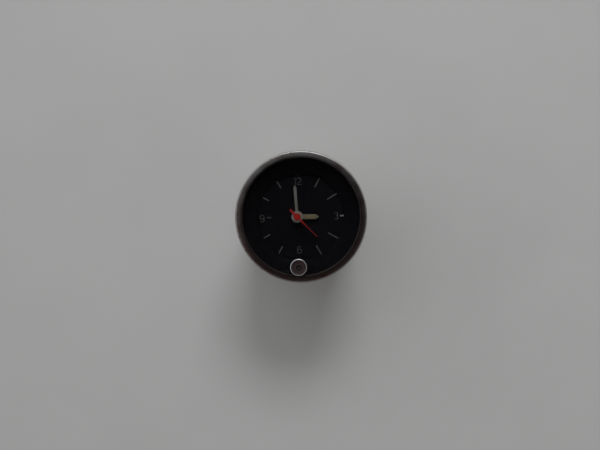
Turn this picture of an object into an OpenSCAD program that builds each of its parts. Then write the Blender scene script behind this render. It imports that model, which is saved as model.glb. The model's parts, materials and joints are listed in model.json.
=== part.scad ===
// Round panel clock for a car dashboard: a drawn steel can with a chromed bezel, an electric balance
// movement, three hands under a flat lens and a push-and-turn setting knob at six o'clock.
// The clock lies on its back: +Z leaves the dial, +Y points to twelve and +X to three.
// The origin is under the middle of the can, level with the ends of the rear studs.

/* [Case] */
// Outside diameter of the can that goes through the panel hole
can_d = 51.5; // [48:0.1:56]
// Sheet thickness of the can wall and of its flange
can_wall = 0.8; // [0.5:0.1:1.2]
// Thickness of the can floor
can_floor = 1; // [0.6:0.1:1.6]
// Width of the flange outside the can
flange_w = 1.75; // [1.2:0.05:3]
// Radius of the drawn corner round the back of the can
can_corner = 1.6; // [0.8:0.1:2]
// Room between the circuit parts and the can floor
floor_gap = 0.9; // [0.5:0.1:6]

/* [Bezel and lens] */
// Wall of the bezel outside the flange
bezel_wall = 1.3; // [1:0.1:2.5]
// Thickness of the bezel's front lip and of its rolled rear lip
bezel_lip = 0.9; // [0.6:0.1:1.5]
// Width of the bezel's front lip over the lens
lens_lap = 1.6; // [1:0.1:2.5]
// How far the front of the bezel falls from its inner edge to its shoulder
bezel_fall = 0.25; // [0.1:0.05:0.5]
// Radius of the bezel's outer front shoulder
bezel_round = 0.7; // [0.5:0.1:2]
// Thickness of the lens
lens_thick = 2; // [1.5:0.1:3]
// Thickness of the gasket under the lens
gasket_thick = 0.8; // [0.5:0.1:1.5]
// Thickness of the shade ring
shade_thick = 0.8; // [0.6:0.1:1.2]
// Width of the shade ring's slope, from the can's mouth to its window
shade_w = 5.5; // [4:0.05:8]
// Gap between the shade ring and the dial
shade_gap = 0.3; // [0.2:0.1:0.6]

/* [Dial and hands] */
// Thickness of the dial plate
dial_thick = 0.5; // [0.4:0.1:1]
// How far the dial reaches under the shade ring
dial_lap = 2.4; // [2.2:0.1:3]
// Room from the dial to the lens
hands_room = 5.2; // [4.8:0.1:8]
// Height of the hour hand above the dial
hand_lift = 1.2; // [0.8:0.1:1.4]
// Rise from one hand to the next
hand_step = 1.1; // [0.9:0.1:1.2]
// Sheet thickness of the hands
hand_thick = 0.3; // [0.2:0.05:0.4]
// Length of the hour hand from the centre
hour_len = 9.7; // [8:0.1:13]
// Width of the hour hand
hour_w = 2.2; // [1.4:0.1:3]
// Length of the minute hand from the centre
minute_len = 14.3; // [12:0.1:17]
// Width of the minute hand near its tip
minute_w = 1.3; // [0.8:0.1:2]
// Width of the minute hand near the centre
minute_root_w = 1.1; // [0.7:0.1:2]
// Length of the point at the tip of the hour and minute hands
hand_point = 1.5; // [0.8:0.1:3]
// Length of the seconds hand from the centre
second_len = 12.7; // [11:0.1:17]
// Width of the seconds hand near the centre
second_w = 0.7; // [0.5:0.1:1.2]
// Width of the seconds hand at its tip
second_tip_w = 0.4; // [0.3:0.1:0.8]
// Length of the seconds hand's tail
second_tail = 4.65; // [3:0.05:7]
// Width of the seconds hand's tail
second_tail_w = 1.3; // [0.8:0.1:2]
// Diameter of the disc on the hour hand
hour_boss_d = 5; // [4.8:0.1:8]
// Diameter of the disc on the minute hand
minute_boss_d = 5.2; // [4:0.1:7]
// Diameter of the disc on the seconds hand
second_boss_d = 3.1; // [2.4:0.1:5]
// Angle of the hour hand, clockwise from twelve
hour_at = 91; // [0:1:359]
// Angle of the minute hand, clockwise from twelve
minute_at = 357; // [0:1:359]
// Angle of the seconds hand, clockwise from twelve
second_at = 136.5; // [0:0.5:359]

/* [Setting knob] */
// Diameter of the knob
knob_d = 7.2; // [6:0.1:9]
// Height of the knob
knob_h = 5; // [4:0.1:8]
// Depth of the dish in the knob's face
knob_dish = 0.6; // [0.3:0.1:1.2]
// Width of the rim round the dish
knob_rim = 0.55; // [0.3:0.05:1]
// Number of flutes round the knob
knob_flutes = 40; // [24:1:60]
// Travel of the knob when it is pushed in
knob_travel = 1.5; // [1.4:0.1:1.7]
// Diameter of the setting shaft
shaft_d = 2.5; // [2:0.1:2.6]
// Wall of the bush that guides the shaft in the lens
bush_wall = 0.85; // [0.5:0.05:1.5]
// Width and thickness of the bush's flange on the lens
bush_flange = 0.6; // [0.4:0.1:1]
// Thickness of the spring's wire
spring_wire = 0.45; // [0.3:0.05:0.6]
// Number of turns of the spring
spring_turns = 6; // [4:1:8]

/* [Movement] */
// How far the movement sits from the can's axis, to the right of the dial
movement_shift = -1.7; // [-1.9:0.1:0]
// Diameter of the two plates
plate_d = 40; // [38:0.5:44]
// Thickness of the two plates
plate_thick = 1.2; // [0.8:0.1:2]
// Room between the plates
plate_gap = 9; // [8.4:0.1:12]
// Room between the front plate and the dial for the motion work
motion_gap = 4; // [3.8:0.1:6]
// Distance of the pillars in from the plates' edge
pillar_inset = 3; // [2.5:0.1:3.5]
// Diameter of the pillars between the plates
pillar_d = 4.4; // [3.6:0.1:5]
// Diameter of the posts between the can floor and the back plate
post_d = 5; // [4:0.1:5.5]
// Radius of the lobes that guide the setting shaft
lobe_r = 2.7; // [2.3:0.05:3]
// Gap between those lobes and the can
lobe_gap = 0.3; // [0.2:0.05:1]
// Gap between a train wheel and the arbor it passes
train_gap = 0.45; // [0.3:0.05:0.8]
// Distance from the centre to the escape wheel
escape_d = 8.8; // [8.6:0.05:8.9]
// Thickness of the wheels
wheel_t = 0.7; // [0.4:0.1:0.8]
// Diameter of the seconds arbor
second_arbor_d = 1; // [0.8:0.05:1.05]
// Wall of the tube that carries the centre wheel
centre_wall = 0.55; // [0.4:0.05:0.6]
// Wall of the cannon pinion's pipe
cannon_wall = 0.3; // [0.25:0.05:0.3]
// Wall of the hour wheel's pipe
hour_wall = 0.55; // [0.4:0.05:0.8]

/* [Balance] */
// Distance from the centre to the balance, towards twelve
balance_y = 5; // [4.8:0.1:5.2]
// Diameter of the two balance discs
balance_d = 15; // [13:0.5:16]
// Thickness of the balance discs
disc_t = 1; // [0.6:0.1:1.6]
// Thickness of the magnets on the discs
magnet_t = 1; // [0.6:0.1:1.6]
// Diameter of the magnets
magnet_d = 3; // [2:0.1:3.4]
// Gap between the two sets of magnets, where the coil sits
air_gap = 3; // [2.6:0.1:5]
// Distance from the balance staff to the coil and to the magnets
coil_reach = 5.2; // [4.6:0.1:5.6]
// Outside diameter of the coil
coil_d = 5.6; // [4:0.1:6]
// Height of the hairspring's strip
hair_h = 0.5; // [0.3:0.1:0.8]
// Number of turns of the hairspring
hair_turns = 4; // [3:1:5]
// Outside radius of the hairspring
hair_r = 4.4; // [4:0.1:4.8]
// Thickness of the balance bridge
bridge_t = 1.2; // [0.8:0.1:2]
// Gap between the regulator's finger and the post beside it
finger_gap = 0.7; // [0.4:0.05:1.2]
// Swing of the regulator to each side, in degrees
regulator_swing = 18; // [10:1:20]

/* [Rear fittings] */
// Length of the studs behind the can
stud_len = 12; // [8:0.5:40]
// Diameter of the studs
stud_d = 4; // [3:0.5:5]
// Distance from stud to stud
stud_spacing = 35; // [32:0.5:36]
// Height of the pair of studs above the can's axis
stud_y = 3; // [0:0.5:4]
// Width of the flat plug blades
blade_w = 6.3; // [4.8:0.1:6.3]
// Thickness of the flat plug blades
blade_t = 0.8; // [0.5:0.1:1]
// Distance of the blades to each side of the can's axis
blade_x = 8; // [7.5:0.1:8.5]
// Height of the blades above the can's axis
blade_y = 9; // [8.5:0.1:9]
// Gap between the lamp holder's flange and the round of the can
lamp_gap = 1; // [0.5:0.1:2]
// Diameter of the lamp's cap
lamp_cap_d = 9; // [8:0.1:9.2]
// Diameter of the lamp's glass
lamp_glass_d = 8.6; // [7:0.1:9]
// Length of the lamp's glass above its holder
lamp_glass_h = 9; // [7:0.5:10]
// Wall of the lamp holder's sleeve
lamp_wall = 0.6; // [0.4:0.1:1]

/* [Fits] */
// Running clearance on a radius
fit = 0.05; // [0.03:0.01:0.08]
// Clearance on a radius of a push fit
push_fit = 0.02; // [0.01:0.005:0.03]
// Loose clearance on a radius
slip = 0.2; // [0.15:0.05:0.3]

/* [Hidden] */
$fn = 96;
tiny = 0.01;

// Radii of the case, from the can outwards
can_r = can_d / 2;
can_in = can_r - can_wall;
flange_r = can_r + flange_w;
cavity_r = flange_r + slip;
bezel_r = cavity_r + bezel_wall;
lip_r = can_r + slip;
open_r = flange_r - lens_lap;
shoulder_r = can_in - slip;
window_r = shoulder_r - shade_w;
dial_r = window_r + dial_lap;
plate_r = plate_d / 2;
pillar_ring = plate_r - pillar_inset;
edge_cut = 0.3;
neck_cut = 0.3;

// Levels from the stud ends up to the back plate
back_z = stud_len;
floor_top = back_z + can_floor;
comp_h = 3;
board_t = 1.2;
spacer_len = 2;
board_z = floor_top + floor_gap + comp_h;
board_top = board_z + board_t;
bridge_z = board_top + spacer_len;
bridge_top = bridge_z + bridge_t;
lever_t = 0.5;
lever_lift = 0.1;
boss_h = lever_lift + lever_t + lever_lift;
lever_z = bridge_top + lever_lift;
hair_z = bridge_top + boss_h + 0.7;
disc_lo_z = hair_z + hair_h + 0.9;
disc_lo_top = disc_lo_z + disc_t;
magnet_lo_top = disc_lo_top + magnet_t;
magnet_hi_z = magnet_lo_top + air_gap;
disc_hi_z = magnet_hi_z + magnet_t;
disc_hi_top = disc_hi_z + disc_t;
roller_t = 0.6;
roller_z = disc_hi_top + 0.8;
escape_t = 0.6;
escape_lift = 0.2;
escape_z = roller_z + roller_t + escape_lift;
plate_room = 0.8;
rear_z = escape_z + escape_t + plate_room;

// Levels from the back plate up to the knob
rear_top = rear_z + plate_thick;
front_z = rear_top + plate_gap;
front_top = front_z + plate_thick;
dial_z = front_top + motion_gap;
dial_top = dial_z + dial_thick;
lens_z = dial_top + hands_room;
lens_top = lens_z + lens_thick;
gasket_z = lens_z - gasket_thick;
shade_z = gasket_z - shade_thick;
flange_z = shade_z - can_wall;
seat_z = flange_z - bezel_lip;
bezel_top = lens_top + bezel_lip;
knob_gap = 0.4;
knob_z = lens_top + bush_flange + knob_travel + knob_gap;
knob_top = knob_z + knob_h;
hour_z = dial_top + hand_lift;
minute_z = hour_z + hand_step;
second_z = minute_z + hand_step;

// Concentric parts of the centre, from the inside outwards
second_r = second_arbor_d / 2;
centre_in = second_r + fit;
centre_r = centre_in + centre_wall;
cannon_in = centre_r + push_fit;
cannon_r = cannon_in + cannon_wall;
hour_in = cannon_r + fit;
hour_r = hour_in + hour_wall;
pivot_r = 0.35;
arbor_r = 0.6;
escape_arbor_r = 0.42;

finger_d = 1.2;
finger_w = 1.6;

// Wheels: tooth counts set the ratios, and the distances set the modules
cannon_teeth = 12;
minute_teeth = 36;
minute_leaves = 10;
hour_teeth = 40;
idler_teeth = 25;
set_teeth = 12;
centre_teeth = 60;
third_leaves = 10;
third_teeth = 80;
second_leaves = 8;
second_teeth = 80;
escape_leaves = 8;
escape_teeth = 15;
tooth_add = 0.75;
tooth_ded = 1.15;
tooth_root = 0.54;
tooth_tip = 0.2;
knob_reach = sqrt(pow(can_in - lobe_gap - lobe_r, 2) - pow(movement_shift, 2));
motion_m = 2 * knob_reach / (cannon_teeth + 2 * minute_teeth + 2 * idler_teeth + set_teeth);
motion_d = motion_m * (cannon_teeth + minute_teeth) / 2;
hour_m = 2 * motion_d / (minute_leaves + hour_teeth);
second_m = 2 * escape_d / (second_teeth + escape_leaves);
third_d = second_m * (second_teeth / 2 + tooth_add) + arbor_r + train_gap;
centre_m = 2 * third_d / (centre_teeth + third_leaves);
third_m = 2 * third_d / (third_teeth + second_leaves);
idler_d = motion_m * (minute_teeth + idler_teeth) / 2;
regulator_reach = pillar_ring - post_d / 2 - finger_gap - finger_d / 2 - balance_y;

// Places in the movement, from its centre
down = -90;
third_dir = 150;
escape_dir = 60;
minute_pos = [0, -motion_d];
idler_pos = [0, -motion_d - idler_d];
knob_pos = [0, -knob_reach];
third_pos = third_d * [cos(third_dir), sin(third_dir)];
escape_pos = escape_d * [cos(escape_dir), sin(escape_dir)];
balance_pos = [0, balance_y];
coil_pos = [0, balance_y - coil_reach];
pillar_dirs = [90, 210, 330];
foot_inset = 5;
foot_pos = [for (s = [-1, 1]) [s * (plate_r - foot_inset), foot_inset]];

// Turn of each wheel at which its teeth meet the next one's gaps
cannon_turn = down;
minute_turn = meet(cannon_teeth, cannon_turn, minute_teeth, down);
idler_turn = meet(minute_teeth, minute_turn, idler_teeth, down);
set_turn = meet(idler_teeth, idler_turn, set_teeth, down);
hour_turn = meet(minute_leaves, -down, hour_teeth, -down);
third_leaf_turn = meet(centre_teeth, third_dir, third_leaves, third_dir);
second_leaf_turn = meet(third_teeth, third_dir + 180, second_leaves, third_dir + 180);
escape_leaf_turn = meet(second_teeth, escape_dir, escape_leaves, escape_dir);

// Levels of the train above the back plate
second_wheel_z = rear_top + 0.7;
escape_leaf_z = rear_top + 0.4;
leaf_h = 1.4;
third_lift = 3.6;
third_wheel_z = rear_top + third_lift;
second_leaf_z = third_wheel_z - 0.4;
centre_drop = 2.4;
centre_wheel_z = front_z - centre_drop;
third_leaf_z = centre_wheel_z - 0.4;
centre_end = centre_wheel_z - 1;

// Levels of the motion work above the front plate
motion_z = front_top + 0.7;
motion_top = motion_z + wheel_t;
cannon_leaf_z = front_top + 0.4;
hour_wheel_z = motion_top + 0.8;
stud_head = 0.35;
set_lift = 0.35;
set_pinion_z = motion_top + set_lift;
set_pinion_h = 1.2;
pipe_proud = 0.2;

// Setting shaft and its spring
shaft_r = shaft_d / 2;
shaft_bore = shaft_r + fit;
leaf_wall = 0.3;
tail_r = motion_m * (set_teeth / 2 - tooth_ded) - leaf_wall;
tail_bore = tail_r + fit;
shaft_end = rear_z - 0.6;
clip_t = 0.5;
clip_w = 0.95;
washer_t = 0.4;
stack_gap = 0.1;
clip_z = front_z - stack_gap - clip_t;
washer_z = clip_z - stack_gap - washer_t;
spring_lo = rear_top + fit;
spring_hi = washer_z - fit;
spring_r = tail_bore + slip + spring_wire / 2;
spring_rings = 12;
spring_sides = 6;

// Screws, posts and rear fittings
screw_r = 1;
screw_head_r = 1.9;
screw_head_h = 0.9;
screw_slot = 0.5;
screw_deep = 4;
spigot_r = 1.2;
spigot_len = 3;
case_screw_r = 1.4;
case_head_r = 2.8;
case_head_h = 1.6;
case_screw_len = 5;
leg_x = 11.5;
leg_w = 3;
leg_d = 6;
bar_w = 6;
bridge_screw_r = 0.8;
bridge_head_r = 1.4;
bridge_head_h = 0.5;
collar_r = 1.4;
foot_r = 0.7;
stud_r = stud_d / 2;
shank_cut = 0.4;
shank_r = stud_r - shank_cut;
stud_collar_w = 1.5;
stud_collar_h = 1.5;
rivet_r = 1.5;
rivet_head_w = 1.7;
rivet_tail_w = 0.8;
rivet_tail_h = 0.6;
rivet_head_h = 1;
insulator_r = 4;
insulator_t = 1.2;
lamp_in = max(lamp_cap_d, lamp_glass_d) / 2 + fit;
lamp_r = lamp_in + lamp_wall;
lamp_up = 7;
lamp_flange_w = 1.4;
lamp_flange_t = 1;
lamp_drop = 5.4;
lamp_body_z = back_z - lamp_drop;
lamp_floor = 1.5;
lamp_y = can_r - can_corner - lamp_gap - lamp_r - lamp_flange_w;
lamp_cap_top = floor_top + lamp_up - 1;

// Regulator finger, with the turn that its own width takes in the slot
finger_turn = atan((finger_w / 2 + slip) / regulator_reach) + 1;
regulator_in = 1.55;
lever_w = 1.6;
lever_ring_w = 1.1;
lever_pin_r = 0.15;
lever_pin_gap = 0.36;

// Slope of the shade ring
shade_lip_z = dial_top + shade_gap;
shade_rise = (gasket_z - shade_lip_z - shade_thick) / (open_r - window_r);

// Hairspring, balance staff and escape wheel
hair_t = 0.15;
hair_in = 1.2;
hair_steps = 30;
hair_end = 200;
hair_stud = 0.9;
hair_at_lever = hair_r - hair_t / 2
  - (hair_r - hair_t / 2 - hair_in) / hair_turns * (hair_end - 90) / 360;
staff_r = 0.7;
collet_r = 1;
disc_hole_r = 1.2;
roller_r = 1.4;
roller_pin_r = 0.25;
roller_pin_at = 1.1;
escape_gap = 0.55;
escape_r = norm(escape_pos - balance_pos) - roller_pin_at - roller_pin_r - escape_gap;
escape_tooth = 1;
escape_root = escape_r - escape_tooth;

// Coil, its arm and its foot under the back plate
bobbin_play = 0.4;
bobbin_t = 0.3;
bobbin_z = magnet_lo_top + bobbin_play;
bobbin_top = magnet_hi_z - bobbin_play;
bobbin_core_r = 0.9;
coil_foot_y = -10;
coil_foot_d = 2;
coil_foot_w = 4;
coil_screw_deep = 3;
bridge_screw_pos = [[-leg_x, balance_y], [leg_x, balance_y], [0, coil_foot_y]];

// Circuit board and its lead
spacer_x = 9;
spacer_r = 1.2;
board_w = 25;
board_y0 = -4;
lead_r = 0.5;
board_edge = 1;
transistor_r = 2.3;
transistor_brim = 0.4;
transistor_pos = [-6, 0];
resistor_r = 0.9;
resistor_len = 6;
resistor_pos = [0, -2];
capacitor_r = 1.4;
capacitor_len = 8;
capacitor_pos = [0, 4];
leg_r = 0.3;
leg_room = 0.25;
board_y1 = blade_y + lead_r + board_edge;

// Knob, bush and spring
knob_r = knob_d / 2;
knob_bore = shaft_r + push_fit;
knob_skirt = 0.8;
dish_steps = 6;
flute_r = 0.22;
bush_r = shaft_bore + bush_wall;
spring_n = spring_turns * spring_rings;

// A point list along a round stretch, from angle a0 to angle a1
function arc(cx, cy, r, a0, a1, n = 10) =
  [for (i = [0:n]) [cx + r * cos(a0 + (a1 - a0) * i / n), cy + r * sin(a0 + (a1 - a0) * i / n)]];

// The turn that puts gear b in mesh with gear a, where a sees b in direction dir
function meet(teeth_a, turn_a, teeth_b, dir) =
  dir + 180 - 360 / teeth_b * (0.5 - (dir - turn_a) * teeth_a / 360);

function polar(r, a) = [r * cos(a), r * sin(a)];

module ring(r_out, r_in, z0, z1) {
  translate([0, 0, z0]) difference() {
    cylinder(r = r_out, h = z1 - z0);
    translate([0, 0, -1]) cylinder(r = r_in, h = z1 - z0 + 2);
  }
}

module disc(r, z0, z1) {
  translate([0, 0, z0]) cylinder(r = r, h = z1 - z0);
}

module bar(w, d, z0, z1) {
  translate([-w / 2, -d / 2, z0]) cube([w, d, z1 - z0]);
}

module in_movement(pos = [0, 0]) {
  translate([movement_shift + pos[0], pos[1], 0]) children();
}

module at_pillars() {
  for (a = pillar_dirs) in_movement(polar(pillar_ring, a)) children();
}

// Outline of a toothed wheel with straight-sided teeth, one of them pointing along turn
module teeth_2d(teeth, m, turn) {
  r = teeth * m / 2;
  lo = r - tooth_ded * m;
  hi = r + tooth_add * m;
  step = 360 / teeth;
  polygon([for (i = [0:teeth - 1]) for (p = [[lo, -tooth_root], [hi, -tooth_tip], [hi, tooth_tip],
    [lo, tooth_root]]) polar(p[0], turn + (i + p[1] / 2) * step)]);
}

module pinion(teeth, m, turn, z0, z1, bore) {
  difference() {
    translate([0, 0, z0]) linear_extrude(height = z1 - z0) teeth_2d(teeth, m, turn);
    disc(bore, z0 - 1, z1 + 1);
  }
}

// Wheel with a ring of lightening holes
module wheel(teeth, m, turn, z0, t, bore, holes = 5, hub = 2.2) {
  rim = teeth * m / 2 - tooth_ded * m;
  mid = (rim - 0.7 + hub) / 2;
  hole = (rim - 0.7 - hub) / 2;
  difference() {
    pinion(teeth, m, turn, z0, z0 + t, bore);
    for (i = [0:holes - 1]) translate(concat(polar(mid, turn + (i + 0.5) * 360 / holes), 0))
      disc(hole, z0 - 1, z0 + t + 1);
  }
}

module slotted_head(r, z0, z1) {
  difference() {
    disc(r, z0, z1);
    bar(2 * r + 1, screw_slot, z1 - screw_slot, z1 + 1);
  }
}

// Plate of the movement: a disc with a lobe that guides the setting shaft
module plate(z0) {
  in_movement() {
    disc(plate_r, z0, z0 + plate_thick);
    translate([knob_pos[0] - lobe_r, knob_pos[1], z0]) cube([2 * lobe_r, -knob_pos[1], plate_thick]);
    translate(concat(knob_pos, 0)) disc(lobe_r, z0, z0 + plate_thick);
  }
}

module plate_hole(pos, r, z0) {
  in_movement(pos) disc(r, z0 - 1, z0 + plate_thick + 1);
}

module case_can() color("Silver") difference() {
  rotate_extrude() polygon(concat(
    [[0, back_z]],
    arc(can_r - can_corner, back_z + can_corner, can_corner, -90, 0),
    [[can_r, seat_z], [can_r - neck_cut, seat_z], [can_r - neck_cut, flange_z], [flange_r, flange_z],
     [flange_r, shade_z], [can_in, shade_z]],
    arc(can_r - can_corner, floor_top + can_corner - can_wall, can_corner - can_wall, 0, -90),
    [[0, floor_top]]));
  for (s = [-1, 1]) translate([s * stud_spacing / 2, stud_y, 0])
    disc(shank_r + push_fit, back_z - 1, floor_top + 1);
  translate([blade_x, blade_y, 0]) disc(rivet_r + slip + insulator_t / 2, back_z - 1, floor_top + 1);
  translate([-blade_x, blade_y, 0]) disc(rivet_r + push_fit, back_z - 1, floor_top + 1);
  translate([0, -lamp_y, 0]) disc(lamp_r + push_fit, back_z - 1, floor_top + 1);
  at_pillars() disc(case_screw_r + slip, back_z - 1, floor_top + 1);
  in_movement(balance_pos) rotate([0, 0, 90 - regulator_swing - finger_turn]) translate([0, 0, back_z - 1])
    rotate_extrude(angle = 2 * (regulator_swing + finger_turn))
      translate([regulator_reach - finger_d / 2 - slip, 0]) square([finger_d + 2 * slip, can_floor + 2]);
}

module bezel() color("DarkGray") rotate_extrude() polygon(concat(
  [[lip_r, seat_z], [bezel_r - edge_cut, seat_z], [bezel_r, seat_z + edge_cut]],
  arc(bezel_r - bezel_round, bezel_top - bezel_fall - bezel_round, bezel_round, 0, 86, 12),
  [[open_r + edge_cut, bezel_top], [open_r, bezel_top - edge_cut], [open_r, lens_top],
   [cavity_r, lens_top], [cavity_r, flange_z], [lip_r, flange_z]]));

module lens() color("White", 0.3) difference() {
  disc(flange_r, lens_z, lens_top);
  in_movement(knob_pos) disc(bush_r + push_fit, lens_z - 1, lens_top + 1);
}

module lens_gasket() color("Black") ring(flange_r, open_r, gasket_z, lens_z);

module shade_ring() color("Black") difference() {
  rotate_extrude() polygon([[window_r, shade_lip_z], [window_r, shade_lip_z + shade_thick],
    [open_r, gasket_z], [flange_r, gasket_z], [flange_r, shade_z], [shoulder_r, shade_z],
    [shoulder_r, shade_lip_z + (shoulder_r - window_r) * shade_rise]]);
  in_movement(knob_pos) disc(shaft_r + 2 * slip, shade_lip_z - 1, gasket_z + 1);
}

module dial() color("Black") in_movement() difference() {
  ring(dial_r, hour_r + slip, dial_z, dial_top);
  translate(concat(knob_pos, 0)) disc(shaft_r + 2 * slip, dial_z - 1, dial_top + 1);
}

module dial_feet() color("Goldenrod") for (p = foot_pos) in_movement(p) {
  disc(collar_r, front_top, dial_z);
  disc(foot_r, front_z, front_top);
}

module front_plate() color("Goldenrod") difference() {
  plate(front_z);
  plate_hole([0, 0], centre_r + fit, front_z);
  plate_hole(third_pos, pivot_r + fit, front_z);
  plate_hole(escape_pos, pivot_r + fit, front_z);
  plate_hole(knob_pos, tail_bore, front_z);
  for (p = [minute_pos, idler_pos]) plate_hole(p, arbor_r + push_fit, front_z);
  for (p = foot_pos) plate_hole(p, foot_r + push_fit, front_z);
  for (a = pillar_dirs) plate_hole(polar(pillar_ring, a), screw_r + push_fit, front_z);
}

module back_plate() color("Goldenrod") difference() {
  plate(rear_z);
  plate_hole([0, 0], pivot_r + fit, rear_z);
  plate_hole(third_pos, pivot_r + fit, rear_z);
  plate_hole(escape_pos, escape_arbor_r + fit, rear_z);
  plate_hole(balance_pos, pivot_r + fit, rear_z);
  plate_hole(knob_pos, tail_bore, rear_z);
  for (a = pillar_dirs) plate_hole(polar(pillar_ring, a), spigot_r + push_fit, rear_z);
  for (p = bridge_screw_pos) plate_hole(p, bridge_screw_r + push_fit, rear_z);
}

module pillars() color("Gold") at_pillars() difference() {
  disc(pillar_d / 2, rear_top, front_z);
  disc(spigot_r + push_fit, rear_top - 1, rear_top + spigot_len);
  disc(screw_r + push_fit, front_z - screw_deep, front_z + 1);
}

module pillar_screws() color("Silver") at_pillars() {
  slotted_head(screw_head_r, front_top, front_top + screw_head_h);
  disc(screw_r, front_z - screw_deep + 0.5, front_top + tiny);
}

module movement_posts() color("Gold") at_pillars() difference() {
  union() {
    disc(post_d / 2, floor_top, rear_z);
    disc(spigot_r, rear_z - 1, rear_top + spigot_len - 0.5);
  }
  disc(case_screw_r + push_fit, floor_top - 1, floor_top + case_screw_len);
}

module case_screws() color("Silver") at_pillars() {
  difference() {
    disc(case_head_r, back_z - case_head_h, back_z);
    bar(2 * case_head_r + 1, screw_slot * 2, back_z - case_head_h - 1, back_z - case_head_h / 2);
  }
  disc(case_screw_r, back_z - tiny, floor_top + case_screw_len - 0.5);
}

module balance_bridge() color("Goldenrod") in_movement(balance_pos) difference() {
  union() {
    bar(2 * leg_x + leg_w, bar_w, bridge_z, bridge_top);
    for (s = [-1, 1]) translate([s * leg_x, 0, 0]) bar(leg_w, leg_d, bridge_top - tiny, rear_z);
    disc(regulator_in - fit, bridge_top - tiny, bridge_top + boss_h);
    rotate([0, 0, hair_end]) translate([hair_r + hair_stud / 2, 0, 0])
      bar(hair_stud, hair_stud, bridge_top - tiny, hair_z + hair_h);
  }
  disc(pivot_r + fit, bridge_z - 1, bridge_top + boss_h + 1);
  for (s = [-1, 1]) translate([s * leg_x, 0, 0])
    disc(bridge_screw_r + push_fit, rear_z - screw_deep, rear_z + 1);
}

module bridge_screws() color("Silver") for (p = bridge_screw_pos) in_movement(p) {
  disc(bridge_head_r, rear_top, rear_top + bridge_head_h);
  disc(bridge_screw_r, rear_z - (p[0] == 0 ? coil_screw_deep : screw_deep) + 0.5, rear_top + tiny);
}

// Flat spiral from the staff's collet out to the stud on the bridge
function hair(i, side) = polar(hair_in + (hair_r - hair_t / 2 - hair_in) * i / (hair_turns * hair_steps)
  + side * hair_t / 2, hair_end - 360 * hair_turns + 360 * i / hair_steps);

module hairspring() color("SteelBlue") in_movement(balance_pos) translate([0, 0, hair_z])
  linear_extrude(height = hair_h) polygon(concat(
    [for (i = [0:hair_turns * hair_steps]) hair(i, 1)],
    [for (i = [hair_turns * hair_steps:-1:0]) hair(i, -1)]));

module drive_coil() color("Sienna") in_movement(coil_pos)
  ring(coil_d / 2, bobbin_core_r + push_fit, bobbin_z + bobbin_t, bobbin_top - bobbin_t);

module coil_bobbin() color("Ivory") {
  in_movement(coil_pos) {
    disc(bobbin_core_r, bobbin_z, bobbin_top);
    disc(coil_d / 2 + bobbin_t, bobbin_z, bobbin_z + bobbin_t);
    disc(coil_d / 2 + bobbin_t, bobbin_top - bobbin_t, bobbin_top);
  }
  arm_len = coil_pos[1] - coil_foot_y + coil_foot_d / 2;
  arm_in = coil_d / 2 + slip;
  difference() {
    union() {
      in_movement([0, coil_foot_y - coil_foot_d / 2]) translate([-coil_foot_w / 2, 0, bobbin_z])
        cube([coil_foot_w, arm_len, bobbin_t]);
      in_movement([0, coil_foot_y - coil_foot_d / 2]) translate([-coil_foot_w / 2, 0, bobbin_z])
        cube([coil_foot_w, arm_len - arm_in, bobbin_top - bobbin_z]);
      in_movement([0, coil_foot_y]) bar(coil_foot_w, coil_foot_d, bobbin_z, rear_z);
    }
    in_movement([0, coil_foot_y]) disc(bridge_screw_r + push_fit, rear_z - coil_screw_deep, rear_z + 1);
  }
}

module board_spacers() color("Ivory") for (s = [-1, 1]) in_movement([s * spacer_x, balance_y])
  disc(spacer_r, board_top, bridge_z);

module circuit_board() color("DarkOliveGreen") in_movement([0, (board_y0 + board_y1) / 2])
  bar(board_w, board_y1 - board_y0, board_z, board_top);

// A round component lying under the board on two legs
module barrel(r, len) {
  z = board_z - r - leg_room;
  translate([-len / 2, 0, z]) rotate([0, 90, 0]) cylinder(r = r, h = len);
  for (s = [-1, 1]) translate([s * (len / 2 - r), 0, 0]) disc(leg_r, z, board_z);
}

module board_transistor() color("Gray") in_movement(transistor_pos) {
  disc(transistor_r, board_z - comp_h, board_z);
  disc(transistor_r + transistor_brim, board_z - transistor_brim, board_z);
}

module board_resistor() color("Tan") in_movement(resistor_pos) barrel(resistor_r, resistor_len);

module board_capacitor() color("OrangeRed") in_movement(capacitor_pos) barrel(capacitor_r, capacitor_len);

module mounting_studs() color("Silver") for (s = [-1, 1]) translate([s * stud_spacing / 2, stud_y, 0]) {
  cylinder(r1 = stud_r - edge_cut, r2 = stud_r, h = edge_cut);
  disc(stud_r, edge_cut, back_z);
  disc(shank_r, back_z - tiny, floor_top + tiny);
  disc(stud_r + stud_collar_w, floor_top, floor_top + stud_collar_h);
}

// Two washers and a sleeve that keep the live blade clear of the can
module terminal_insulator() color("SaddleBrown") translate([blade_x, blade_y, 0]) difference() {
  union() {
    disc(insulator_r, back_z - insulator_t, back_z);
    disc(rivet_r + insulator_t / 2, back_z - tiny, floor_top + tiny);
    disc(insulator_r - 0.6, floor_top, floor_top + insulator_t);
  }
  disc(rivet_r + push_fit, back_z - insulator_t - 1, floor_top + insulator_t + 1);
}

module blade(z1) {
  difference() {
    union() {
      bar(blade_w, blade_t, 1, z1);
      bar(blade_w - 1, blade_t, 0, 1);
    }
    translate([0, 0, z1 * 0.4]) rotate([90, 0, 0]) translate([0, 0, -blade_t])
      cylinder(r = 0.8, h = 2 * blade_t);
  }
}

module power_terminal() color("Goldenrod") translate([blade_x, blade_y, 0]) {
  blade(back_z - insulator_t - rivet_head_h + tiny);
  disc(rivet_r + rivet_head_w, back_z - insulator_t - rivet_head_h, back_z - insulator_t);
  disc(rivet_r, back_z - insulator_t - tiny, floor_top + insulator_t + tiny);
  disc(rivet_r + rivet_tail_w, floor_top + insulator_t, floor_top + insulator_t + rivet_tail_h);
}

module power_lead() color("Red") translate([blade_x, blade_y, 0])
  disc(lead_r, floor_top + insulator_t + rivet_tail_h, board_z);

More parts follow.
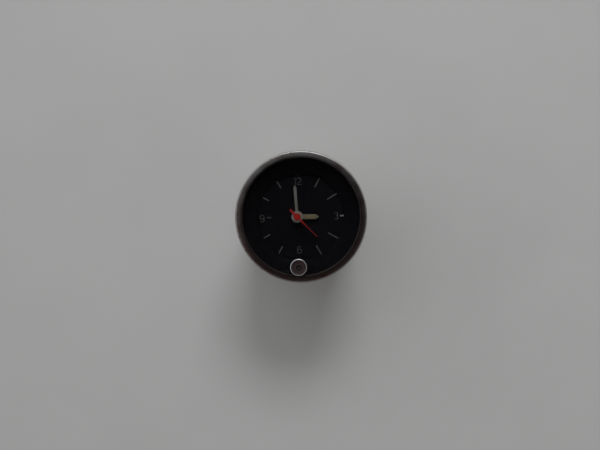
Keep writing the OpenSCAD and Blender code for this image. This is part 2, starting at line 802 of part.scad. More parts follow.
module earth_terminal() color("Silver") translate([-blade_x, blade_y, 0]) {
  blade(back_z - rivet_head_h + tiny);
  disc(rivet_r + rivet_head_w, back_z - rivet_head_h, back_z);
  disc(rivet_r, back_z - tiny, floor_top + tiny);
  disc(rivet_r + rivet_tail_w, floor_top, floor_top + rivet_tail_h);
}

module lamp_holder() color("Silver") translate([0, -lamp_y, 0]) difference() {
  union() {
    disc(lamp_r, lamp_body_z, floor_top + lamp_up);
    disc(lamp_r + lamp_flange_w, back_z - lamp_flange_t, back_z);
  }
  disc(lamp_in, lamp_body_z + lamp_floor, floor_top + lamp_up + 1);
  disc(rivet_r + push_fit, lamp_body_z - 1, lamp_body_z + lamp_floor + 1);
}

module lamp_contact() color("Goldenrod") translate([0, -lamp_y, 0]) {
  blade(lamp_body_z);
  disc(rivet_r, lamp_body_z - tiny, lamp_body_z + lamp_floor + 0.5);
}

module lamp_bulb() color("LightYellow", 0.6) translate([0, -lamp_y, 0]) rotate_extrude() polygon(concat(
  [[0, lamp_body_z + lamp_floor + 0.5], [lamp_cap_d / 2 - 0.8, lamp_body_z + lamp_floor + 0.5],
   [lamp_cap_d / 2, lamp_body_z + lamp_floor + 1.5], [lamp_cap_d / 2, lamp_cap_top],
   [lamp_glass_d / 2, lamp_cap_top]],
  arc(0, lamp_cap_top + lamp_glass_h - lamp_glass_d / 2 + 1, lamp_glass_d / 2, 0, 90, 8)));

module shaft_bush() color("Silver") in_movement(knob_pos) difference() {
  union() {
    disc(bush_r, lens_z, lens_top + tiny);
    disc(bush_r + bush_flange, lens_top, lens_top + bush_flange);
  }
  disc(shaft_bore, lens_z - 1, lens_top + bush_flange + 1);
}

module motion_studs() color("Silver") {
  for (p = [minute_pos, idler_pos]) in_movement(p) {
    disc(arbor_r, front_z, motion_top + fit + tiny);
    disc(2 * arbor_r, front_top, motion_z - fit);
  }
  in_movement(idler_pos) disc(2 * arbor_r, motion_top + fit, motion_top + fit + stud_head / 2);
  in_movement(minute_pos) disc(arbor_r, front_z, hour_wheel_z + wheel_t + stud_head);
}

// Round wire swept up a helix between the back plate and the thrust washer
function coil_at(i) = [for (k = [0:spring_sides - 1])
  let (a = 360 * i / spring_rings, b = 360 * k / spring_sides, r = spring_r + spring_wire / 2 * cos(b))
  [r * cos(a), r * sin(a), spring_lo + spring_wire / 2 + (spring_hi - spring_lo - spring_wire) * i / spring_n
    + spring_wire / 2 * sin(b)]];

module set_spring() color("DimGray") in_movement(knob_pos) polyhedron(
  points = [for (i = [0:spring_n]) for (p = coil_at(i)) p],
  faces = concat(
    [[for (k = [0:spring_sides - 1]) k]],
    [[for (k = [spring_sides - 1:-1:0]) spring_n * spring_sides + k]],
    [for (i = [0:spring_n - 1]) for (k = [0:spring_sides - 1]) let (n = (k + 1) % spring_sides)
      each [[i * spring_sides + k, (i + 1) * spring_sides + k, (i + 1) * spring_sides + n],
            [i * spring_sides + k, (i + 1) * spring_sides + n, i * spring_sides + n]]]));

module centre_wheel() color("Gold") in_movement()
  wheel(centre_teeth, centre_m, third_dir, centre_wheel_z, wheel_t, centre_r + push_fit);

module centre_arbor() color("Silver") in_movement() {
  ring(centre_r, centre_in, centre_end, minute_z);
  ring(centre_r + 0.6, centre_in, centre_wheel_z + wheel_t, centre_wheel_z + wheel_t + 0.6);
}

module cannon_pinion() color("Silver") in_movement() difference() {
  union() {
    pinion(cannon_teeth, motion_m, cannon_turn, cannon_leaf_z, cannon_leaf_z + leaf_h, cannon_in);
    disc(cannon_r, cannon_leaf_z + leaf_h - tiny, minute_z + hand_thick + pipe_proud);
  }
  disc(cannon_in, cannon_leaf_z - 1, minute_z + hand_thick + pipe_proud + 1);
}

// Hand pointing along +Y: a strip with a point, on a disc round the centre
module hand(len, w_root, w_tip, point, boss, bore) {
  difference() {
    union() {
      cylinder(r = boss, h = hand_thick);
      linear_extrude(height = hand_thick) polygon([[-w_root / 2, 0], [-w_tip / 2, len - point], [0, len],
        [w_tip / 2, len - point], [w_root / 2, 0]]);
    }
    translate([0, 0, -1]) cylinder(r = bore, h = hand_thick + 2);
  }
}

module minute_hand() color("Gainsboro") in_movement() rotate([0, 0, -minute_at]) translate([0, 0, minute_z])
  hand(minute_len, minute_root_w, minute_w, hand_point, minute_boss_d / 2, cannon_r + push_fit);

module hour_wheel() color("Gold") in_movement() difference() {
  union() {
    pinion(hour_teeth, hour_m, hour_turn, hour_wheel_z, hour_wheel_z + wheel_t, hour_in);
    disc(hour_r, hour_wheel_z, hour_z + hand_thick + pipe_proud);
  }
  disc(hour_in, hour_wheel_z - 1, hour_z + hand_thick + pipe_proud + 1);
}

module hour_hand() color("Beige") in_movement() rotate([0, 0, -hour_at]) translate([0, 0, hour_z])
  hand(hour_len, hour_w, hour_w, hand_point, hour_boss_d / 2, hour_r + push_fit);

module minute_wheel() color("Gold") in_movement(minute_pos) {
  pinion(minute_teeth, motion_m, minute_turn, motion_z, motion_top, arbor_r + fit);
  pinion(minute_leaves, hour_m, -down, motion_top - tiny, hour_wheel_z + wheel_t + 0.3, arbor_r + fit);
}

module setting_idler() color("Gold") in_movement(idler_pos)
  pinion(idler_teeth, motion_m, idler_turn, motion_z, motion_top, arbor_r + fit);

module seconds_arbor() color("Silver") in_movement() {
  disc(pivot_r, rear_z, rear_top + 0.3);
  disc(second_r, rear_top + 0.2, second_z + hand_thick);
  pinion(second_leaves, third_m, second_leaf_turn, second_leaf_z, second_leaf_z + leaf_h, second_r - 0.1);
}

module seconds_wheel() color("Gold") in_movement()
  wheel(second_teeth, second_m, escape_dir, second_wheel_z, wheel_t, second_r + push_fit);

module seconds_hand() color("Red") in_movement() rotate([0, 0, -second_at]) difference() {
  union() {
    translate([0, 0, second_z]) linear_extrude(height = hand_thick) union() {
      circle(r = second_boss_d / 2);
      polygon([[-second_w / 2, 0], [-second_tip_w / 2, second_len], [second_tip_w / 2, second_len],
        [second_w / 2, 0]]);
      translate([-second_tail_w / 2, -second_tail]) square([second_tail_w, second_tail]);
    }
    disc(second_boss_d / 2, second_z, second_z + 2 * hand_thick);
  }
  disc(second_r + push_fit, second_z - 1, second_z + hand_thick);
}

module third_arbor() color("Silver") in_movement(third_pos) {
  disc(pivot_r, rear_z + 0.3, front_top - 0.3);
  disc(arbor_r, rear_top + 0.2, front_z - 0.2);
  pinion(third_leaves, centre_m, third_leaf_turn, third_leaf_z, third_leaf_z + leaf_h, arbor_r - 0.1);
}

module third_wheel() color("Gold") in_movement(third_pos)
  wheel(third_teeth, third_m, third_dir + 180, third_wheel_z, wheel_t, arbor_r + push_fit);

module escape_arbor() color("Silver") in_movement(escape_pos) {
  disc(escape_arbor_r, escape_z - 0.4, front_z - 0.2);
  disc(pivot_r, front_z - 0.3, front_top - 0.3);
  pinion(escape_leaves, second_m, escape_leaf_turn, escape_leaf_z, escape_leaf_z + leaf_h,
    escape_arbor_r - 0.1);
}

// Escape wheel with sharp raked teeth
module escape_wheel() color("Gold") in_movement(escape_pos) difference() {
  translate([0, 0, escape_z]) linear_extrude(height = escape_t) polygon([for (i = [0:escape_teeth - 1])
    for (p = [[escape_root, 0], [escape_r, 0.55], [escape_r, 0.7], [escape_root, 0.75]])
      polar(p[0], (i + p[1]) * 360 / escape_teeth)]);
  disc(escape_arbor_r + push_fit, escape_z - 1, escape_z + escape_t + 1);
}

module balance_staff() color("Silver") in_movement(balance_pos) {
  disc(pivot_r, bridge_z + 0.2, bridge_top + boss_h + 0.2);
  disc(staff_r, bridge_top + boss_h + 0.1, rear_z - 0.2);
  disc(pivot_r, rear_z - 0.3, rear_top - 0.3);
  disc(collet_r, hair_z - 0.1, hair_z + hair_h + 0.1);
  disc(roller_r, roller_z, roller_z + roller_t);
  translate([roller_pin_at, 0, 0]) disc(roller_pin_r, roller_z, escape_z + escape_t);
}

module balance_disc(z0) {
  in_movement(balance_pos) difference() {
    disc(balance_d / 2, z0, z0 + disc_t);
    disc(staff_r + push_fit, z0 - 1, z0 + disc_t + 1);
    for (a = [30, 150, 210, 330]) translate(concat(polar((balance_d / 2 + staff_r) / 2, a), 0))
      disc(disc_hole_r, z0 - 1, z0 + disc_t + 1);
  }
}

module balance_disc_upper() color("Gainsboro") balance_disc(disc_hi_z);
module balance_disc_lower() color("Gainsboro") balance_disc(disc_lo_z);

module balance_magnets() color("DimGray") for (a = [90, -90])
  in_movement(balance_pos + polar(coil_reach, a)) {
    disc(magnet_d / 2, disc_lo_top, magnet_lo_top);
    disc(magnet_d / 2, magnet_hi_z, disc_hi_z);
  }

// Lever on the bridge: a finger through the slot in the can floor moves two pins along the hairspring
module regulator_lever() color("Silver") in_movement(balance_pos) {
  difference() {
    union() {
      disc(regulator_in + lever_ring_w, lever_z, lever_z + lever_t);
      translate([-lever_w / 2, 0, lever_z]) cube([lever_w, regulator_reach + finger_d / 2, lever_t]);
    }
    disc(regulator_in, lever_z - 1, lever_z + lever_t + 1);
  }
  translate([0, regulator_reach, 0]) bar(finger_w, finger_d, back_z, lever_z + tiny);
  for (s = [-1, 1]) translate([0, hair_at_lever + s * lever_pin_gap, 0])
    disc(lever_pin_r, lever_z + lever_t - tiny, hair_z + hair_h + 0.1);
}

module thrust_washer() color("Silver") in_movement(knob_pos)
  ring(tail_r + clip_w, tail_bore, washer_z, washer_z + washer_t);

// Knob: fluted flank, narrow rim and a dished face round the end of the shaft
module set_knob() color("Silver") in_movement(knob_pos) difference() {
  rotate_extrude() polygon(concat(
    [[knob_bore, knob_z], [knob_r - edge_cut, knob_z], [knob_r, knob_z + edge_cut]],
    arc(knob_r - edge_cut, knob_top - edge_cut, edge_cut, 0, 90, 5),
    [for (i = [0:dish_steps]) [knob_r - knob_rim - (knob_r - knob_rim - knob_bore) * i / dish_steps,
      knob_top - knob_dish * sin(90 * i / dish_steps)]]));
  for (i = [0:knob_flutes - 1]) rotate([0, 0, (i + 0.5) * 360 / knob_flutes])
    translate([knob_r + flute_r / 3, 0, 0]) disc(flute_r, knob_z - 1, knob_top - knob_skirt);
}

module set_shaft() color("Silver") in_movement(knob_pos) difference() {
  union() {
    disc(tail_r, shaft_end, set_pinion_z + set_pinion_h + tiny);
    disc(shaft_r, set_pinion_z + set_pinion_h, knob_top - knob_dish);
  }
  translate([0, 0, knob_top - knob_dish - edge_cut]) cylinder(r1 = 0.3, r2 = 0.9, h = edge_cut + tiny);
}

module set_pinion() color("Gold") in_movement(knob_pos)
  pinion(set_teeth, motion_m, set_turn, set_pinion_z, set_pinion_z + set_pinion_h, tail_r + push_fit);

module shaft_clip() color("DimGray") in_movement(knob_pos)
  ring(tail_r + clip_w, tail_r + push_fit, clip_z, clip_z + clip_t);

echo(can_depth = seat_z - back_z, bezel_d = 2 * bezel_r, height = knob_top, seat_z = seat_z);

case_can();
bezel();
lens();
lens_gasket();
shade_ring();
dial();
dial_feet();
front_plate();
back_plate();
pillars();
pillar_screws();
movement_posts();
case_screws();
balance_bridge();
bridge_screws();
hairspring();
drive_coil();
coil_bobbin();
board_spacers();
circuit_board();
board_transistor();
board_resistor();
board_capacitor();
mounting_studs();
terminal_insulator();
power_terminal();
power_lead();
earth_terminal();
lamp_holder();
lamp_contact();
lamp_bulb();
shaft_bush();
motion_studs();
set_spring();
centre_wheel();
centre_arbor();
cannon_pinion();
minute_hand();
hour_wheel();
hour_hand();
minute_wheel();
setting_idler();
seconds_arbor();
seconds_wheel();
seconds_hand();
third_arbor();
third_wheel();
escape_arbor();
escape_wheel();
balance_staff();
balance_disc_upper();
balance_disc_lower();
balance_magnets();
regulator_lever();
thrust_washer();
set_knob();
set_shaft();
set_pinion();
shaft_clip();
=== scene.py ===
# %% [markdown]
# A dashboard clock seen from the front, lying on its back on a pale table.
# The exact solids come in first as a fixed frame. Over them this lesson models the parts that catch
# the eye, such as the bezel, the hands and the setting knob, and gives every part its finish.

# %% Load the frame
import json
import math

import bpy
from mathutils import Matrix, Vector


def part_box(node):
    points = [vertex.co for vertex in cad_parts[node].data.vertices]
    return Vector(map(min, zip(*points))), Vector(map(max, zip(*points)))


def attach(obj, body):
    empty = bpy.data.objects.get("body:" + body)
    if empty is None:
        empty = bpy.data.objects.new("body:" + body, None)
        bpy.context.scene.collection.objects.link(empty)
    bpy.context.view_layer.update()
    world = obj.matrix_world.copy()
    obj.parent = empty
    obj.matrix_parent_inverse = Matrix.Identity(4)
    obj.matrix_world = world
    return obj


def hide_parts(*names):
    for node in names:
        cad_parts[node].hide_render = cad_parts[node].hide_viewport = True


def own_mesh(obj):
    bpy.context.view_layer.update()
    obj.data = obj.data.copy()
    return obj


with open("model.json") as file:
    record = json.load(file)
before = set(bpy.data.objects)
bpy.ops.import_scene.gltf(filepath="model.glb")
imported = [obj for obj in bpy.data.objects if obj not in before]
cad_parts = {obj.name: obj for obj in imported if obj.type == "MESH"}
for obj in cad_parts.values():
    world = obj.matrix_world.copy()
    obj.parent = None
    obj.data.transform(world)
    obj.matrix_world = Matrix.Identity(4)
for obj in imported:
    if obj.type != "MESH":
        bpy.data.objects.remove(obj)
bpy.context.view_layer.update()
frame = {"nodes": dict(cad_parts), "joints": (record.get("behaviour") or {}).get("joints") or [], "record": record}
MM = 0.001

# %% [markdown]
# A part that is modelled anew has to sit where its solid sits. The levels and radii are read from the
# solids, and the turning axes from the joints, so that nothing is fitted by eye. All are in millimetres.

# %% Levels, radii and axes


def low(node):
    """Lowest corner of a solid, in millimetres."""
    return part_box(node)[0] / MM


def high(node):
    """Highest corner of a solid, in millimetres."""
    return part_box(node)[1] / MM


def joint(name):
    """A joint's row in the frame."""
    return next(row for row in frame["joints"] if row["name"] == name)


def axis_of(name):
    """Where a joint's axis crosses the dial, in millimetres."""
    x, y, _ = joint(name)["pos_m"]
    return x / MM, y / MM


bezel_r, bezel_top, seat_z = high("bezel").x, high("bezel").z, low("bezel").z
lens_r, lens_z, lens_top = high("lens").x, low("lens").z, high("lens").z
dial_top = high("dial").z
back_z, flange_top = low("case_can").z, high("case_can").z
hand_x, hand_y = axis_of("seconds_turn")
knob_x, knob_y = axis_of("knob_turn")
balance_x, balance_y = axis_of("balance_swing")
print("bezel radius", round(bezel_r, 2), "hands at", round(hand_x, 2), "knob at", round(knob_y, 2))

# %% [markdown]
# The photograph looks almost straight down. The camera stands a third of a metre over the bezel, a
# little below the middle of the dial, and is turned a degree and a half, as the photographer's hands were.

# %% Camera
CAMERA_RISE = 330
CAMERA_ASIDE = (-0.57, -3.67)
CAMERA_ROLL = -1.6
SENSOR, FOCAL = 36.0, 45.1

bpy.ops.object.camera_add(
    location=(CAMERA_ASIDE[0] * MM, CAMERA_ASIDE[1] * MM, (lens_top + CAMERA_RISE) * MM),
    rotation=(0, 0, math.radians(CAMERA_ROLL)))
camera = bpy.context.object
camera.name = "photo_camera"
camera.data.sensor_width, camera.data.lens = SENSOR, FOCAL
bpy.context.scene.camera = camera
bpy.context.scene.view_settings.view_transform = "Standard"
print("camera height", round(camera.location.z, 3))

# %% [markdown]
# The clock lies on a matte grey table top. One lamp stands beyond twelve o'clock at half height, so that
# the shadow falls below the clock about as long as the clock is tall.

# %% Table and lamp
TABLE_SIZE = 6.0
LAMP_PLACE, LAMP_SIZE, LAMP_POWER = (0.16, 1.0, 1.05), (0.55, 0.45), 10.3

bpy.ops.object.select_all(action="DESELECT")
bpy.ops.mesh.primitive_plane_add(size=TABLE_SIZE)
table = bpy.context.object
table.name = "table_top"

bpy.ops.object.light_add(type="AREA", location=LAMP_PLACE)
lamp = bpy.context.object
lamp.name = "soft_lamp"
lamp.data.shape, lamp.data.size, lamp.data.size_y = "RECTANGLE", *LAMP_SIZE
lamp.data.energy = LAMP_POWER
lamp.rotation_euler = (-Vector(LAMP_PLACE)).to_track_quat("-Z", "Y").to_euler()
print("lamp of", LAMP_POWER, "watts")

# %% [markdown]
# The rest of the light is an even room: dark overhead, where the lens would mirror it, lighter on the walls,
# lightest beyond half past ten, which is why the bezel's upper left is the brightest part of the ring, and
# dim again towards the floor. Nodes work the same in a world, a group and a material, so one small
# function adds them everywhere: a socket that is given an output is linked, any other is set.

# %% Room
SKY_TOP, SKY_NEAR, SKY_FAR = (0.010, 0.010, 0.011, 1), (2.42, 2.42, 2.43, 1), (0.66, 0.63, 0.618, 1)
SKY_BRIGHT_SIDE, BRIGHT_FROM = (-0.71, 0.71, 0), 0.0
DARK_FROM, DARK_FULL = 0.54, 0.988
LOW_DIM, LOW_FROM, LOW_FULL = 0.3, 0.15, 0.75
FLAT = (1, 1, 0)


def fill(tree, node, sockets):
    """Link each socket that is given an output, and set each that is given a value."""
    for label, value in sockets.items():
        if isinstance(value, bpy.types.NodeSocket):
            tree.links.new(value, node.inputs[label])
        else:
            node.inputs[label].default_value = value


def add_node(tree, kind, output, sockets, **settings):
    """Add a shader node, set it up, fill its sockets and return one of its outputs."""
    node = tree.nodes.new(f"ShaderNode{kind}")
    for name, value in settings.items():
        setattr(node, name, value)
    fill(tree, node, sockets)
    return node.outputs[output]


world = bpy.data.worlds.new("dim_room")
bpy.context.scene.world = world
world.use_nodes = True
room = world.node_tree
look = add_node(room, "TexCoord", "Generated", {})
level_look = add_node(room, "VectorMath", "Vector", {0: look, 1: FLAT}, operation="MULTIPLY")
heading = add_node(room, "VectorMath", "Vector", {0: level_look}, operation="NORMALIZE")
side = add_node(room, "VectorMath", "Value", {0: heading, 1: SKY_BRIGHT_SIDE}, operation="DOT_PRODUCT")
upward = add_node(room, "SeparateXYZ", "Z", {"Vector": look})
around = add_node(room, "MapRange", "Result", {"Value": side, "From Min": BRIGHT_FROM})
overhead = add_node(room, "MapRange", "Result", {
    "Value": upward, "From Min": DARK_FROM, "From Max": DARK_FULL})
strength = add_node(room, "MapRange", "Result", {
    "Value": upward, "From Min": LOW_FROM, "From Max": LOW_FULL, "To Min": LOW_DIM})
walls = add_node(room, "Mix", "Result", {"Factor": around, "A": SKY_FAR, "B": SKY_NEAR}, data_type="RGBA")
colour = add_node(room, "Mix", "Result", {"Factor": overhead, "A": walls, "B": SKY_TOP}, data_type="RGBA")
fill(room, room.nodes["Background"], {"Color": colour, "Strength": strength})
print("room of", len(room.nodes), "nodes")

# %% [markdown]
# Real surfaces are never one colour. Five small node groups give what changes over a surface: a fine
# grain, the rings that a lathe leaves, stains in patches, and masks that depend on the distance
# from an axis or on the height. Each is built once, and every finish below takes what it needs.

# %% Node groups


def new_group(name, output, *numbers):
    """A shader group that takes a place and some numbers, and the outputs of its input node."""
    tree = bpy.data.node_groups.new(name, "ShaderNodeTree")
    tree.interface.new_socket("Vector", in_out="INPUT", socket_type="NodeSocketVector")
    for label in numbers:
        tree.interface.new_socket(label, in_out="INPUT", socket_type="NodeSocketFloat")
    tree.interface.new_socket(output, in_out="OUTPUT", socket_type="NodeSocketFloat")
    return tree, tree.nodes.new("NodeGroupInput").outputs


def give(tree, value):
    """Make a value what the group gives."""
    tree.links.new(value, tree.nodes.new("NodeGroupOutput").inputs[0])


def radius(tree, place):
    """The distance of a place from the Z axis."""
    flat = add_node(tree, "VectorMath", "Vector", {0: place, 1: FLAT}, operation="MULTIPLY")
    return add_node(tree, "VectorMath", "Value", {0: flat}, operation="LENGTH")


def soft_step(tree, value, given):
    """A mask that rises smoothly from 0 at the group's From to 1 at its To."""
    return add_node(tree, "MapRange", "Result", {
        "Value": value, "From Min": given["From"], "From Max": given["To"]}, interpolation_type="SMOOTHSTEP")


grain, given = new_group("fine_grain", "Grain", "Scale")
give(grain, add_node(grain, "TexNoise", "Fac", {
    "Vector": given["Vector"], "Scale": given["Scale"], "Detail": 5}))

rings, given = new_group("turned_rings", "Rings", "Scale")
give(rings, add_node(rings, "TexNoise", "Fac", {
    "W": radius(rings, given["Vector"]), "Scale": given["Scale"], "Detail": 3}, noise_dimensions="1D"))

stains, given = new_group("stain_patches", "Stain", "Scale", "From", "To")
cloud = add_node(stains, "TexNoise", "Fac", {
    "Vector": given["Vector"], "Scale": given["Scale"], "Detail": 6, "Roughness": 0.6})
give(stains, soft_step(stains, cloud, given))

zone, given = new_group("distance_zone", "Zone", "From", "To")
give(zone, soft_step(zone, radius(zone, given["Vector"]), given))

level, given = new_group("height_zone", "Zone", "From", "To")
give(level, soft_step(level, add_node(level, "SeparateXYZ", "Z", {"Vector": given["Vector"]}), given))
print("groups:", [tree.name for tree in (grain, rings, stains, zone, level)])

# %% [markdown]
# A finish is a Principled shader with patterns on the piece's own coordinates. This class keeps the few steps
# that every finish takes: place a group, mix two colours or two values by a mask, raise a bump. Gloss is
# the shader's specular level, low for dead matte paint.

# %% Finish class
METAL, PAINT = 1.0, 0.0
MATTE, SATIN, PLAIN = 0.02, 0.2, 0.5
finishes = {}


class Finish:
    """A Principled material with its pattern centred on a point, in millimetres."""

    def __init__(self, name, metallic=PAINT, gloss=PLAIN, centre=(0, 0, 0)):
        self.name = name
        self.material = bpy.data.materials.new(name)
        self.material.use_nodes = True
        self.tree = self.material.node_tree
        self.shader = self.tree.nodes["Principled BSDF"]
        self.set({"Metallic": metallic, "Specular IOR Level": gloss})
        place = self.add("TexCoord", "Object", {})
        offset = [-value * MM for value in centre]
        self.place = self.add("Mapping", "Vector", {"Vector": place, "Location": offset})

    def set(self, sockets):
        """Fill sockets of the shader itself."""
        fill(self.tree, self.shader, sockets)

    def add(self, kind, output, sockets, **settings):
        """Add a node to this finish."""
        return add_node(self.tree, kind, output, sockets, **settings)

    def group(self, tree, **values):
        """Place a node group and return its output."""
        return self.add("Group", 0, {"Vector": self.place, **values}, node_tree=tree)

    def mix(self, mask, first, second):
        """Mix two colours, each a tuple or an output, by a mask."""
        a, b = ((*c, 1) if isinstance(c, tuple) else c for c in (first, second))
        return self.add("Mix", "Result", {"Factor": mask, "A": a, "B": b}, data_type="RGBA")

    def between(self, mask, first, second):
        """Turn a mask into a value between two numbers."""
        return self.add("MapRange", "Result", {"Value": mask, "To Min": first, "To Max": second})

    def blend(self, mask, first, second):
        """Mix two values that come from outputs by a mask."""
        return self.add("Mix", "Result", {"Factor": mask, "A": first, "B": second})

    def bump(self, height, strength, depth=0.02):
        """Raise the surface by a pattern, with a depth in millimetres."""
        self.set({"Normal": self.add("Bump", "Normal", {
            "Strength": strength, "Distance": depth * MM, "Height": height})})

    def keep(self):
        """Store the finish under its name."""
        finishes[self.name] = self.material
        print("finish", self.name, "of", len(self.tree.nodes), "nodes")
        return self.material


print("gloss of matte, satin and plain:", MATTE, SATIN, PLAIN)

# %% [markdown]
# Most finishes here differ only in their numbers: two shades that stains mix, a roughness that the grain
# varies, and a slight bump. One function builds such a finish, and a table by material slot holds the
# numbers. The few that need more get a cell of their own afterwards.

# %% The common finish
GRAINS_PER_STAIN = 9


def common_finish(name, light, dark, rough, metallic, grain_scale, gloss, bump=0.3):
    """Two shades mixed by stains, with roughness and bump from the grain."""
    finish = Finish(name, metallic, gloss)
    patches = finish.group(stains, Scale=grain_scale / GRAINS_PER_STAIN, From=0.42, To=0.72)
    texture = finish.group(grain, Scale=grain_scale)
    finish.set({"Base Color": finish.mix(patches, light, dark), "Roughness": finish.between(texture, *rough)})
    finish.bump(texture, bump)
    return finish.keep()


# slot, light shade, dark shade, roughness from and to, metal or paint, scale of the grain, gloss, bump
for row in [
        ("zinc_steel", (0.60, 0.59, 0.565), (0.55, 0.54, 0.51), (0.22, 0.28), METAL, 900, PLAIN, 0.02),
        ("black_rubber", (0.022, 0.022, 0.022), (0.034, 0.033, 0.032), (0.6, 0.85), PAINT, 2500, SATIN),
        ("shade_black", (0.0022, 0.0022, 0.0030), (0.0034, 0.0033, 0.0040), (0.6, 0.8), PAINT, 3000, MATTE),
        ("brass_plate", (0.62, 0.46, 0.21), (0.46, 0.32, 0.13), (0.26, 0.44), METAL, 1500, PLAIN),
        ("bright_steel", (0.60, 0.60, 0.61), (0.45, 0.44, 0.43), (0.22, 0.40), METAL, 1800, PLAIN),
        ("spring_steel", (0.22, 0.24, 0.31), (0.14, 0.15, 0.20), (0.25, 0.40), METAL, 2500, PLAIN),
        ("copper_wire", (0.58, 0.24, 0.11), (0.40, 0.14, 0.06), (0.28, 0.42), METAL, 2200, PLAIN),
        ("white_plastic", (0.70, 0.67, 0.58), (0.60, 0.56, 0.46), (0.42, 0.60), PAINT, 2000, PLAIN),
        ("board_green", (0.10, 0.15, 0.06), (0.14, 0.17, 0.07), (0.45, 0.65), PAINT, 2400, PLAIN),
        ("brown_phenolic", (0.20, 0.095, 0.042), (0.13, 0.06, 0.028), (0.40, 0.58), PAINT, 3500, PLAIN),
        ("resistor_tan", (0.55, 0.39, 0.23), (0.45, 0.30, 0.17), (0.40, 0.55), PAINT, 2600, PLAIN),
        ("capacitor_orange", (0.68, 0.20, 0.05), (0.55, 0.15, 0.04), (0.28, 0.40), PAINT, 2200, PLAIN),
        ("lead_red", (0.52, 0.03, 0.02), (0.40, 0.025, 0.02), (0.42, 0.58), PAINT, 2600, PLAIN),
        ("lume_cream", (0.090, 0.074, 0.039), (0.071, 0.058, 0.031), (0.62, 0.82), PAINT, 5000, SATIN),
        ("lume_grey", (0.074, 0.076, 0.065), (0.058, 0.059, 0.051), (0.62, 0.82), PAINT, 5000, SATIN),
        ("magnet_dark", (0.12, 0.12, 0.13), (0.08, 0.08, 0.085), (0.35, 0.5), METAL, 2600, PLAIN)]:
    common_finish(*row)

# %% [markdown]
# The bezel's plating has dulled. Its flat face has gone dark, with pits and shallow dents. Towards six o'clock a
# brown reflection of the surroundings is painted into its colour, and the inner lip round the glass is painted
# near black, a painted shade on that edge. The rolled edge is scuffed matte, and only the upright wall, which sat
# clear of hands and sun, is still a clean nickel. The distance from the clock's axis and the height tell face,
# edge and wall apart, so one finish covers the whole ring.

# %% Bezel finish
LIP_EDGE, FACE_EDGE, FLANK_EDGE, EDGE_BLUR = 26.3, 28.2, 28.75, 0.3
WALL_TOP = bezel_top - 1.0
SILVER_Y, BROWN_REFLECTION_Y = 16, -14
SCUFFED, FACE_SHINE, WALL_SHINE = (0.6, 0.76), (0.12, 0.24), (0.14, 0.26)
DENTS_TO_GRAIN = 8

plating = Finish("bezel_chrome", METAL)
rolled = plating.group(zone, From=FACE_EDGE * MM, To=FLANK_EDGE * MM)
face = plating.group(zone, From=(LIP_EDGE - EDGE_BLUR) * MM, To=LIP_EDGE * MM)
over_wall = plating.group(level, From=(WALL_TOP - EDGE_BLUR) * MM, To=WALL_TOP * MM)
tarnish = plating.group(stains, Scale=160, From=0.38, To=0.7)
pits = plating.group(stains, Scale=520, From=0.61, To=0.67)
# Painted reflection: towards six o'clock the colour turns brown, standing for brown surroundings mirrored in the
# ring.
brown_reflection_half = plating.add("MapRange", "Result", {
    "Value": plating.add("SeparateXYZ", "Y", {"Vector": plating.place}),
    "From Min": SILVER_Y * MM, "From Max": BROWN_REFLECTION_Y * MM})
silver = plating.mix(tarnish, (0.215, 0.208, 0.205), (0.125, 0.100, 0.095))
painted_brown_reflection = plating.mix(tarnish, (0.165, 0.120, 0.115), (0.115, 0.070, 0.066))
aged_with_reflection = plating.mix(brown_reflection_half, silver, painted_brown_reflection)
# Painted shade: the inner lip round the glass is painted near black.
with_painted_lip_shade = plating.mix(face, (0.012, 0.0105, 0.010), aged_with_reflection)
with_edge = plating.mix(rolled, with_painted_lip_shade, (0.25, 0.246, 0.25))
pitted = plating.mix(pits, with_edge, (0.05, 0.04, 0.034))
clean_wall = plating.mix(tarnish, (0.52, 0.51, 0.50), (0.42, 0.40, 0.38))
fine = plating.group(grain, Scale=2600)
scuffed = plating.between(fine, *SCUFFED)
face_rough = plating.blend(face, scuffed, plating.between(fine, *FACE_SHINE))
top_rough = plating.blend(rolled, face_rough, scuffed)
plating.set({"Base Color": plating.mix(over_wall, clean_wall, pitted),
             "Roughness": plating.blend(over_wall, plating.between(fine, *WALL_SHINE), top_rough)})
dents = plating.group(stains, Scale=230, From=0.3, To=0.8)
uneven = plating.add("Math", "Value", {0: dents, 1: DENTS_TO_GRAIN, 2: fine}, operation="MULTIPLY_ADD")
plating.bump(uneven, 0.25, depth=0.01)
plating.keep()

# %% [markdown]
# The lens is clear moulded plastic, bloomed so that it mirrors little, which a low index and a dark specular
# tint stand for. Old smears take a little light away in patches. Glass in a renderer casts a full shadow
# unless it is told otherwise, so shadow rays pass through a Transparent shader instead, and the dial is lit as
# it is under real glass. The lamp behind the dial is plain glass with a light frost.

# %% Lens and lamp glass
LAMP_Y = -16.6
BLOOMED_INDEX, BLOOM_TINT, GLASS_INDEX = 1.12, (0.3, 0.3, 0.3, 1), 1.5
FROSTED = 0.6

clear = Finish("lens_clear")
smear = clear.group(stains, Scale=70, From=0.5, To=0.75)
clear.set({"Transmission Weight": 1, "IOR": BLOOMED_INDEX, "Specular Tint": BLOOM_TINT, "Roughness": 0,
           "Base Color": clear.mix(smear, (0.96, 0.97, 0.97), (0.90, 0.91, 0.91))})
shadow_passes = clear.add("MixShader", "Shader", {
    "Fac": clear.add("LightPath", "Is Shadow Ray", {}), 1: clear.shader.outputs["BSDF"],
    2: clear.add("BsdfTransparent", "BSDF", {})})
fill(clear.tree, clear.tree.nodes["Material Output"], {"Surface": shadow_passes})
clear.keep()

glass = Finish("lamp_glass", centre=(0, LAMP_Y, 0))
frost = glass.group(grain, Scale=1500)
glass.set({"Transmission Weight": FROSTED, "IOR": GLASS_INDEX,
           "Base Color": glass.mix(frost, (0.86, 0.85, 0.78), (0.74, 0.73, 0.66)),
           "Roughness": glass.between(frost, 0.05, 0.2)})
glass.keep()
